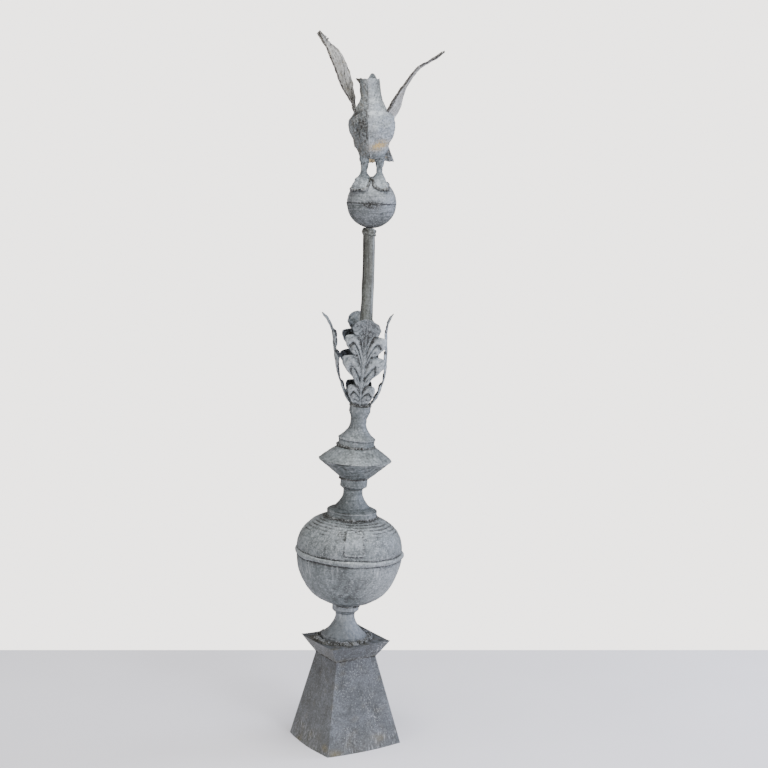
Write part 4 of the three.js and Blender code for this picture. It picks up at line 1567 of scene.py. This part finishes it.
@dataclass(frozen=True)
class Leg:
    """A stamped leg, empty inside, whose foot flares into a crumpled skirt, soldered to the orb along its
    rim.

    Stations hold the height over the orb's top, the distance to the side, the distance to the front, and
    half the width and half the depth, from the top down.
    """

    side: Side
    orb_radius: float
    spread: float
    inward: float
    flare_top: float = 0.015
    flare_foot: float = -0.004
    stations: tuple[tuple[float, float, float, float, float], ...] = (
        (0.056, 0.017, -0.004, 0.011, 0.013),
        (0.042, 0.017, -0.001, 0.0105, 0.011),
        (0.028, 0.0165, 0.0, 0.0083, 0.0085),
        (0.015, 0.017, 0.002, 0.0068, 0.007),
        (0.007, 0.018, 0.005, 0.009, 0.009),
        (-0.004, 0.0195, 0.013, 0.015, 0.015),
        (-0.016, 0.0205, 0.019, 0.019, 0.020),
        (-0.025, 0.0205, 0.021, 0.0195, 0.023),
    )
    squareness: float = 0.75
    bead: float = 0.0032
    columns: int = 84
    rows: int = 110

    def grid(self) -> np.ndarray:
        """The leg's surface: rounded squares of the stations' sizes, from the rim of the skirt up, kept to
        its own side of the middle.

        Returns:
            The grid of points.
        """
        knots = np.array(self.stations)[::-1]
        size = smooth_line(knots, np.linspace(0, 1, self.rows))
        level = size[:, :1]
        flared = np.clip((self.flare_top - level) / (self.flare_top - self.flare_foot), 0, 1)
        half = size[:, 3:4] * (1 + (self.spread - 1) * flared)
        angle = round_angles(self.columns)
        c, s = np.cos(angle), np.sin(angle)
        sign = self.side.value
        x = sign * (size[:, 1:2] - self.inward * flared) + half * np.sign(c) * np.abs(c) ** self.squareness
        y = -size[:, 2:3] + size[:, 4:5] * np.sign(s) * np.abs(s) ** self.squareness
        grid = np.stack([x, y, np.broadcast_to(level, x.shape)], axis=-1)
        seed = 90 + sign
        skirt = 1 - ease(level, -0.012, 0.012)
        folds = 0.0013 * skirt * np.sin(4 * angle + seed) + 0.0006 * skirt * waves(grid, 0.014, seed)
        crumple = 0.0006 * waves(grid, 0.014, seed + 5) + 0.0002 * waves(grid, 0.005, seed + 6)
        grid = raised(grid, True, folds + crumple)
        grid[..., 0] = sign * np.maximum(sign * grid[..., 0], SEAM / 2)
        return grid

    def build(self, place: Place, finish: AgedZinc) -> bpy.types.Object:
        """Builds the leg.

        Args:
            place: Where the bird stands.
            finish: Its finish.

        Returns:
            The piece.
        """
        grid = self.grid()
        closed = np.concatenate([pole(grid[:1]), grid, pole(grid[-1:])])
        clear = np.linalg.norm(closed + np.array([0, 0, self.orb_radius]), axis=-1) - self.orb_radius
        rough = ease(waves(closed * np.array([1, 1, 0.35]), 0.004, 96), -0.2, 1.3)
        grime_and_shade = 0.9 * hump(clear, 0, 0.002) + 0.6 * rough * ease(closed[..., 2], 0.0, 0.03)
        skin = Skin(f"leg_{self.side.name.lower()}")
        sheen_and_wear = 0.5 * (1 - ease(closed[..., 2], -0.01, 0.01))
        skin.add(closed, True, depth=0.0022, hollow=grime_and_shade, wear=sheen_and_wear)
        return skin.build(place, finish, "stamped_zinc", skin.name)

    def rim(self, place: Place, finish: AgedZinc) -> bpy.types.Object:
        """Builds the bead of solder where the skirt meets the orb.

        The bead's path takes, in each column of the leg, the lowest point that is outside the orb.

        Args:
            place: Where the bird stands.
            finish: Its finish.

        Returns:
            The piece.
        """
        grid = self.grid()
        centre = np.array([0, 0, -self.orb_radius])
        clear = np.linalg.norm(grid - centre, axis=-1) - self.orb_radius
        lowest = np.argmax(clear > 0, axis=0)
        path = grid[lowest, np.arange(self.columns)]
        for _ in range(3):
            path = 0.5 * path + 0.25 * (np.roll(path, 1, 0) + np.roll(path, -1, 0))
        up = (path - centre) / np.linalg.norm(path - centre, axis=1, keepdims=True)
        bead = SolderBead(f"foot_solder_{self.side.name.lower()}", self.bead, 97 + self.side.value)
        return bead.build(path, place, finish, up)


@dataclass(frozen=True)
class Plume:
    """A wing or the tail: one cambered sheet between two edges, stamped with long feathers.

    Each edge is listed from root to tip in the bird's own frame: to its left, back, and up. A wing may be
    torn open near its root, where only two strips of it still reach the body.
    """

    name: str
    front: tuple[tuple[float, float, float], ...]
    rear: tuple[tuple[float, float, float], ...]
    camber: float
    quills: float
    sweep: float
    coverts: float
    seed: int
    torn: float = 0.0
    # How strongly the wing's root is made pale, as a painted highlight.
    root_highlight: float = 0.0
    root_rust: float = 0.0
    rim_dirt: float = 1.3
    root_dirt: float = 0.0
    middle_rust: float = 0.0
    covert_rows: float = 18.0
    thickness: float = 0.0015

    def build(self, place: Place, finish: AgedZinc) -> bpy.types.Object:
        """Builds the sheet, and the strips at its root where it is torn.

        Args:
            place: Where the bird stands.
            finish: Its finish.

        Returns:
            The piece.
        """
        skin = Skin(self.name)
        self.add_part(skin, (self.torn, 1.0), (0.0, 1.0), (150, 72), 1.0)
        if self.torn:
            self.add_part(skin, (0.0, self.torn + 0.03), (0.0, 0.2), (50, 14), 0.8)
            self.add_part(skin, (0.04, self.torn + 0.03), (0.7, 1.0), (50, 18), 0.8)
        return skin.build(place, finish, "stamped_zinc", self.name)

    def add_part(
        self,
        skin: Skin,
        length: tuple[float, float],
        width: tuple[float, float],
        size: tuple[int, int],
        thinness: float,
    ) -> None:
        """Adds a part of the sheet. Long quills lie along lines of equal sum of chord share and swept
        length share, and short coverts overlap them near the front edge.

        Args:
            skin: The surface to add it to.
            length: The shares of the length between which it lies.
            width: The shares of the chord between which it lies.
            size: Its rows and columns.
            thinness: Its thickness as a share of the sheet's.
        """
        line = np.linspace(*length, size[0])
        along, chord = np.meshgrid(line, np.linspace(*width, size[1]), indexing="ij")
        part = ((chord + self.sweep * (1 - along)) * self.quills) % 1
        notch = 0.035 * ease(chord, 0.8, 1.0) * hump(part, 0.0, 0.16) * ease(along, 0.1, 0.3)
        front = smooth_line(np.array(self.front), line)[:, None]
        rear = smooth_line(np.array(self.rear), line)[:, None]
        plain = front + (rear - front) * (chord * (1 - notch))[..., None]
        curve = self.camber * 4 * chord * (1 - chord)
        vane = 0.0006 * (part - 0.5) + 0.0006 * hump(part, 0.5, 0.06) - 0.0008 * hump(part, 0.02, 0.05)
        below = (self.coverts - chord) * self.covert_rows
        row = np.floor(below)
        side = (4 * along * 6 + 0.5 * (row % 2)) % 1 - 0.5
        scale = (1 - (below - row)) * (1 - (2 * side) ** 4)
        covert = 0.0008 * np.clip(scale, 0, 1) * (chord < self.coverts) * ease(along, 0.0, 0.08)
        long_feathers = vane * ease(chord, self.coverts - 0.02, self.coverts + 0.04)
        uneven = 0.0013 * waves(plain, 0.06, self.seed) + 0.0004 * waves(plain, 0.014, self.seed + 1)
        middle = raised(plain, False, curve + long_feathers + covert + uneven)
        edge = hump(chord, 0.0, 0.05)
        thin = self.thickness * thinness * (1 + 1.6 * edge) * (1 - 0.3 * ease(chord, 0.9, 1.0))
        root = 1 - ease(along, 0.15, 0.42)
        grime_and_shade = 0.85 * hump(part, 0.05, 0.17) * (chord > self.coverts)
        border = self.rim_dirt * (1 - ease(chord, 0.07, 0.13) * (1 - 0.3 * ease(along, 0.93, 1.0)))
        grime_and_shade = grime_and_shade + self.root_dirt * (1 - ease(along, 0.25, 0.65)) + 0.3 * hump(chord, 1.0, 0.02)
        patchy = ease(waves(plain, 0.02, self.seed + 3), -1.9, -0.2)
        # Pale bloom in patches, and the root made pale as a painted highlight where a wing asks for it.
        bloom_and_sheen = 0.6 * ease(waves(plain, 0.045, self.seed + 2), -0.2, 1.4) + self.root_highlight * root
        rust = self.root_rust * root + self.middle_rust * hump(chord, 0.33, 0.17)
        rust = rust + 0.35 * ease(waves(plain, 0.02, self.seed + 4), 0.9, 2.0)
        streaked = 1.4 + 0 * bloom_and_sheen
        grime_and_shade = grime_and_shade * patchy + border
        skin.add_sheet(middle, thin, hollow=grime_and_shade, wear=bloom_and_sheen, run=streaked, stain=rust)


WINGS_AND_TAIL = (
    Plume(
        "wing_right",
        front=(
            (-0.030, -0.024, 0.128),
            (-0.042, -0.036, 0.160),
            (-0.062, -0.044, 0.190),
            (-0.081, -0.044, 0.234),
            (-0.096, -0.034, 0.274),
            (-0.114, -0.014, 0.312),
        ),
        rear=(
            (-0.028, 0.034, 0.128),
            (-0.039, 0.046, 0.166),
            (-0.044, 0.050, 0.202),
            (-0.054, 0.044, 0.242),
            (-0.076, 0.026, 0.276),
            (-0.116, -0.008, 0.316),
        ),
        camber=-0.007,
        quills=6.0,
        sweep=0.55,
        coverts=0.34,
        seed=101,
        torn=0.23,
        root_dirt=0.45,
    ),
    Plume(
        "wing_left",
        front=(
            (0.022, -0.018, 0.132),
            (0.042, -0.024, 0.163),
            (0.065, -0.020, 0.199),
            (0.095, -0.002, 0.237),
            (0.124, 0.014, 0.255),
            (0.156, 0.032, 0.275),
        ),
        rear=(
            (0.042, 0.060, 0.122),
            (0.060, 0.077, 0.154),
            (0.072, 0.083, 0.197),
            (0.096, 0.080, 0.239),
            (0.125, 0.064, 0.258),
            (0.157, 0.038, 0.278),
        ),
        camber=0.0035,
        quills=6.0,
        sweep=0.55,
        coverts=0.34,
        seed=111,
        root_highlight=1.0,
    ),
    Plume(
        "tail",
        front=(
            (-0.020, 0.030, 0.088),
            (-0.024, 0.070, 0.074),
            (-0.026, 0.115, 0.054),
            (-0.027, 0.165, 0.027),
            (-0.025, 0.178, 0.023),
        ),
        rear=(
            (0.024, 0.030, 0.092),
            (0.031, 0.070, 0.080),
            (0.040, 0.115, 0.062),
            (0.049, 0.165, 0.039),
            (0.050, 0.178, 0.035),
        ),
        camber=0.005,
        quills=6.0,
        sweep=0.0,
        coverts=0.0,
        seed=121,
        rim_dirt=0.2,
        middle_rust=0.9,
    ),
)


@dataclass(frozen=True)
class Finial:
    """The whole finial: its sub-assemblies, and where each stands on the one below."""

    pedestal: Box = Box(
        "pedestal",
        foot=0.188, head=0.101, height=0.200,
        foot_at=(0, 0),
        head_at=(0.0026, -0.0015),
        belly=0.008, wobble=0.0004, seed=11, chalk=0.36,
    )
    cap: Box = Box(
        "pedestal_cap",
        foot=0.101, head=0.150, height=0.038,
        foot_at=(0.0026, -0.0015),
        head_at=(0.0026, -0.0015),
        belly=0.0, wobble=0.0005, seed=16, tip_lift=0.0015, chalk=0.8, rust=0.3,
    )
    shaft_turn: float = math.radians(-30)
    shaft_offset: float = -0.001
    shaft_lean: float = math.radians(3.75)
    crown_tilt: float = math.radians(2.4)
    orb_tilt: float = math.radians(-3.65)
    bird_tilt: float = math.radians(-2)
    solder_width: float = 0.017
    solder_height: float = 0.008
    solder_lap: float = 0.002
    cap_bead: float = 0.0011
    joint_bead: float = 0.0026
    lower_neck: Neck = Neck(
        "lower_neck",
        foot_radius=0.052, foot_height=0.009, shoulder_radius=0.050, shoulder_rise=0.001,
        waist_radius=0.0222, waist_rise=0.044, cove_power=1.8, chamfer_rise=0.007, collar_radius=0.0302,
        collar_height=0.013, height=0.081, slope=math.radians(3.75), lip=0.0, seed=21, washed=1.2,
    )
    globe: Globe = Globe(
        radius=0.1195, depth=0.119, rise=0.084, fullness=2.4, bead_height=0.012, bead_proud=0.0046,
        lower_seat=0.0317, upper_seat=0.0585, patch_turn=math.radians(-84),
    )
    middle_neck: Neck = Neck(
        "middle_neck",
        foot_radius=0.057, foot_height=0.014, shoulder_radius=0.040, shoulder_rise=0.007,
        waist_radius=0.0215, waist_rise=0.037, cove_power=2.0, chamfer_rise=0.006, collar_radius=0.0303,
        collar_height=0.019, height=0.088, slope=0.0, lip=0.0006, seed=25, washed=0.1,
    )
    disc: Disc = Disc(
        radius=0.082, depth=0.0415, rise=0.031, edge=0.0008, lower_seat=0.0318, upper_seat=0.0435
    )
    upper_neck: Neck = Neck(
        "upper_neck",
        foot_radius=0.042, foot_height=0.018, shoulder_radius=0.0335, shoulder_rise=0.007,
        waist_radius=0.0183, waist_rise=0.028, cove_power=2.0, chamfer_rise=0.014, collar_radius=0.024,
        collar_height=0.013, height=0.091, slope=math.radians(2.4), lip=0.0012, seed=28, washed=0.9,
    )
    leaves: tuple[AcanthusLeaf, ...] = (
        AcanthusLeaf("acanthus_leaf_front", -92.5, 0.024, 0.0, 131, height=0.201),
        AcanthusLeaf("acanthus_leaf_right", 0, -0.006, 0.0, 133, height=0.211, stamping=0.5),
        AcanthusLeaf("acanthus_leaf_back", 103, 0.004, 0.012, 135, clear_angles=BACK_LEAF_ROOM),
        AcanthusLeaf("acanthus_leaf_left", 180, 0.048, 0.0, 137, stamping=0.5),
    )
    stem: Stem = Stem(
        foot_radius=0.0155, top_radius=0.013, length=0.397, low_bend=-0.0055, high_bend=-0.0073,
        top_shift=-0.0225, collar_height=0.013, collar_wall=0.0026,
    )
    orb: Orb = Orb(0.055)
    body: BirdBody = BirdBody()

    def build(self) -> list[bpy.types.Object]:
        """Builds every sub-assembly from the ground up.

        Returns:
            The pieces.
        """
        ground = Place()
        made = [self.pedestal.build(ground, BOX_ZINC)]
        made.append(self.cap.build(ground.inner((0, 0, self.pedestal.height + SEAM)), BOX_ZINC))
        made.append(self.cap_seam(ground))
        foot = self.pedestal.height + SEAM + self.cap.height + SEAM
        aside = (
            self.shaft_offset * math.cos(self.shaft_turn),
            self.shaft_offset * math.sin(self.shaft_turn),
            foot,
        )
        bore = self.lower_neck.foot_radius / math.cos(self.shaft_lean)
        bore += self.solder_height * math.tan(self.shaft_lean) + 2 * SEAM
        width = self.solder_width + self.solder_lap
        ring = SolderRing("solder_ring", bore - self.solder_lap, width, self.solder_height, 0.007, 141)
        made.append(ring.build(ground.inner(aside), OLD_SOLDER, "solder_ring"))
        shaft = ground.inner(aside, about_z(self.shaft_turn) @ about_y(self.shaft_lean))
        level, pieces = self.build_shaft(shaft)
        made += pieces
        crown = shaft.inner((0, 0, level), about_y(self.crown_tilt))
        made.append(self.upper_neck.build(crown, SPUN_ZINC))
        made.append(self.joint_solder("upper_neck_solder", self.upper_neck.foot_radius, crown, 173))
        calyx = crown.inner((0, 0, self.upper_neck.height + SEAM))
        made += self.build_calyx(calyx)
        rise = self.stem.length + SEAM + self.orb.radius
        orb = calyx.inner((self.stem.top_shift, 0, rise), about_y(self.orb_tilt))
        made += [self.orb.half(half, orb, ORB_ZINC) for half in Half]
        made += self.build_bird(orb)
        return made

    def cap_seam(self, ground: Place) -> bpy.types.Object:
        """Builds the thin bead of solder round the joint between the pedestal and its cap.

        Args:
            ground: Where the finial stands.

        Returns:
            The piece.
        """
        corner = self.pedestal.head / 2
        turn = np.arange(4) * math.pi / 2
        along = np.linspace(-1, 1, 60, endpoint=False)[:, None]
        x = along * corner * np.cos(turn) + corner * np.sin(turn) + self.pedestal.head_at[0]
        y = along * corner * np.sin(turn) - corner * np.cos(turn) + self.pedestal.head_at[1]
        path = np.stack([x.T.ravel(), y.T.ravel(), np.full(x.size, self.pedestal.height)], axis=-1)
        return SolderBead("cap_solder", self.cap_bead, 151).build(path, ground, OLD_SOLDER)

    def joint_solder(self, name: str, radius: float, place: Place, seed: int) -> bpy.types.Object:
        """Builds the uneven bead of solder round the foot of a turned piece.

        Args:
            name: The bead's name.
            radius: The radius of that foot.
            place: Where its middle stands.
            seed: The seed of the bead's unevenness.

        Returns:
            The piece.
        """
        angle = round_angles(220)
        path = np.stack([radius * np.cos(angle), radius * np.sin(angle), 0 * angle], axis=-1)
        path[:, 2] = 0.0006 * waves(path, 0.012, seed + 3)
        return SolderBead(name, self.joint_bead, seed, pale=0.3).build(path, place, OLD_SOLDER)

    def build_shaft(self, shaft: Place) -> tuple[float, list[bpy.types.Object]]:
        """Builds the turned pieces up to the disc, each a seam above the one below.

        Args:
            shaft: Where the shaft stands, turned and leaning.

        Returns:
            The height of the disc's top along the shaft, and the pieces.
        """
        builders = (
            (self.lower_neck.height, lambda at: self.lower_neck.build(at, NECK_ZINC)),
            (self.globe.lower_height, lambda at: self.globe.lower(at, SPUN_ZINC)),
            (self.globe.upper_height, lambda at: self.globe.upper(at, SPUN_ZINC)),
            (self.middle_neck.height, lambda at: self.middle_neck.build(at, SPUN_ZINC)),
            (self.disc.depth, lambda at: self.disc.cone(Half.LOWER, at, SPUN_ZINC)),
            (self.disc.rise, lambda at: self.disc.cone(Half.UPPER, at, SPUN_ZINC)),
        )
        level, made, feet = 0.0, [], []
        for height, builder in builders:
            feet.append(shaft.inner((0, 0, level)))
            made.append(builder(feet[-1]))
            level += height + SEAM
        made.append(self.joint_solder("globe_solder", self.globe.lower_seat, feet[1], 161))
        made.append(self.joint_solder("middle_neck_solder", self.middle_neck.foot_radius, feet[3], 165))
        made.append(self.joint_solder("disc_solder", self.disc.lower_seat, feet[4], 169))
        return level, made

    def build_calyx(self, calyx: Place) -> list[bpy.types.Object]:
        """Builds the leaves, the solder at their feet, the stem and its collar.

        Args:
            calyx: Where they stand on the upper neck.

        Returns:
            The pieces.
        """
        made = [leaf.build(calyx, STAMPED_ZINC) for leaf in self.leaves]
        crust = SolderRing("calyx_solder", 0.0145, 0.0112, 0.0085, 0.006, 145, columns=160, rows=28)
        made.append(crust.build(calyx, OLD_SOLDER))
        made.append(self.stem.build(calyx, TUBE_ZINC))
        made.append(self.stem.collar(calyx, TUBE_ZINC))
        return made

    def build_bird(self, orb: Place) -> list[bpy.types.Object]:
        """Builds the bird on the top of the orb.

        Args:
            orb: The orb's centre and tilt.

        Returns:
            The pieces.
        """
        tilted = orb.inner((0, 0, 0), about_y(self.bird_tilt))
        bird = tilted.inner((0, 0, self.orb.radius + SEAM))
        made = [self.body.build(bird, STAMPED_ZINC)]
        for side, spread, inward in ((Side.RIGHT, 1.21, 0.0015), (Side.LEFT, 1.03, 0.0045)):
            leg = Leg(side, self.orb.radius + SEAM, spread, inward)
            made += [leg.build(bird, STAMPED_ZINC), leg.rim(bird, OLD_SOLDER)]
        finishes = (PLUME_ZINC, PLUME_ZINC, STAMPED_ZINC)
        made += [plume.build(bird, finish) for plume, finish in zip(WINGS_AND_TAIL, finishes)]
        return made


@dataclass(frozen=True)
class Studio:
    """The pale floor, the light and the camera, at the photograph's viewing angle."""

    floor_colour: str = "#f6f5fa"
    floor_shade: str = "#e9e8ef"
    wall_colour: str = "#ece8e4"
    wall_glow: float = 3.9
    room_glow: float = 0.36
    light_aim: float = 0.8
    camera_distance: float = 3.548
    camera_height: float = 1.33
    camera_turn: float = math.radians(-30)
    camera_pitch: float = math.radians(8.1)
    camera_aside: float = 0.0913
    lens: float = 75.0
    sensor: float = 36.0
    floor_behind: float = 0.66
    floor_size: float = 6.0
    floor_cloud: float = 0.5

    def axes(self) -> tuple[np.ndarray, np.ndarray]:
        """Returns the level directions to the camera's right and away from it."""
        c, s = math.cos(self.camera_turn), math.sin(self.camera_turn)
        return np.array([c, s, 0]), np.array([-s, c, 0])

    def camera(self) -> None:
        """Sets the camera: level distance, height and pitch to the finial's foot, a little to its right."""
        right, away = self.axes()
        data = bpy.data.cameras.new("camera")
        data.lens = self.lens
        data.sensor_width = self.sensor
        eye = bpy.data.objects.new("camera", data)
        spot = self.camera_aside * right - self.camera_distance * away
        eye.location = (spot[0], spot[1], self.camera_height)
        eye.rotation_euler = (math.pi / 2 - self.camera_pitch, 0, self.camera_turn)
        bpy.context.scene.collection.objects.link(eye)
        bpy.context.scene.camera = eye

    def light(
        self, name: str, spot: tuple[float, float, float], power: float, size: float, colour: str
    ) -> None:
        """Adds a square soft light that faces the finial's middle.

        Args:
            name: Its name.
            spot: How far it stands to the camera's right and toward the camera, and its height.
            power: Its power in watts.
            size: The side of its square.
            colour: The colour of its light.
        """
        right, away = self.axes()
        data = bpy.data.lights.new(name, "AREA")
        data.shape = "SQUARE"
        data.size = size
        data.energy = power
        data.color = linear(colour)[:3]
        lamp = bpy.data.objects.new(name, data)
        at = spot[0] * right - spot[1] * away + np.array([0, 0, spot[2]])
        toward = np.array([0, 0, self.light_aim]) - at
        lamp.location = at
        level = math.hypot(toward[0], toward[1])
        lamp.rotation_euler = (math.atan2(level, -toward[2]), 0, math.atan2(-toward[0], toward[1]))
        bpy.context.scene.collection.objects.link(lamp)

    def floor(self) -> None:
        """Lays the floor: a flat sheet that ends a little behind the finial, as a pale table does.

        It is undyed cotton cloth, woven and pressed: matte and nearly white. Its threads are far too fine
        to show, and only soft clouds half a metre wide are drawn.
        """
        right, away = self.axes()
        near = self.floor_behind - self.floor_size
        spans = ((-1, near), (1, near), (1, self.floor_behind), (-1, self.floor_behind))
        corners = [right * side * self.floor_size / 2 + away * back for side, back in spans]
        mesh = bpy.data.meshes.new("floor")
        mesh.from_pydata([tuple(corner) for corner in corners], [], [(0, 1, 2, 3)])
        material = bpy.data.materials.new("pale_cloth_floor")
        material.use_nodes = True
        tree = material.node_tree
        shader = tree.nodes["Principled BSDF"]
        own = add_node(tree, "ShaderNodeTexCoord", {}).outputs["Object"]
        cloud = {"Vector": own, "Scale": 1 / self.floor_cloud}
        soft = add_node(tree, "ShaderNodeTexNoise", cloud).outputs["Fac"]
        shades = {0: soft, 6: linear(self.floor_colour), 7: linear(self.floor_shade)}
        mixed = add_node(tree, "ShaderNodeMix", shades, data_type="RGBA").outputs[2]
        tree.links.new(mixed, shader.inputs["Base Color"])
        shader.inputs["Roughness"].default_value = 0.85
        mesh.materials.append(material)
        ground = bpy.data.objects.new("floor", mesh)
        bpy.context.scene.collection.objects.link(ground)

    def room(self) -> None:
        """Gives the world the room's soft light, and the eye its white wall behind the finial."""
        world = bpy.data.worlds.new("white_room")
        world.use_nodes = True
        tree = world.node_tree
        tree.nodes.clear()
        seen = add_node(tree, "ShaderNodeLightPath", {}).outputs["Is Camera Ray"]
        glow = add_node(tree, "ShaderNodeMapRange", {0: seen, 3: self.room_glow, 4: self.wall_glow})
        inputs = {"Color": linear(self.wall_colour), "Strength": glow.outputs[0]}
        background = add_node(tree, "ShaderNodeBackground", inputs)
        add_node(tree, "ShaderNodeOutputWorld", {"Surface": background.outputs[0]})
        bpy.context.scene.world = world

    def build(self) -> None:
        """Sets up the floor, the room, its four soft lights and the camera."""
        self.floor()
        self.room()
        self.light("key_light", (1.5, 2.0, 1.7), 34.0, 0.5, "#f2f5ff")
        self.light("fill_light", (-1.6, 1.8, 1.6), 9.0, 0.5, "#fff8f0")
        self.light("window_light", (2.2, -0.5, 1.2), 33.0, 1.0, "#dce4ff")
        self.light("ceiling_light", (0.4, 0.8, 6.0), 420.0, 3.0, "#ffffff")
        self.camera()


def main() -> None:
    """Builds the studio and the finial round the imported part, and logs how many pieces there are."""
    logging.basicConfig(level=logging.INFO, format="%(message)s")
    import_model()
    Studio().build()
    pieces = Finial().build()
    log.info("%d pieces", len(pieces))


if __name__ == "__main__":
    main()
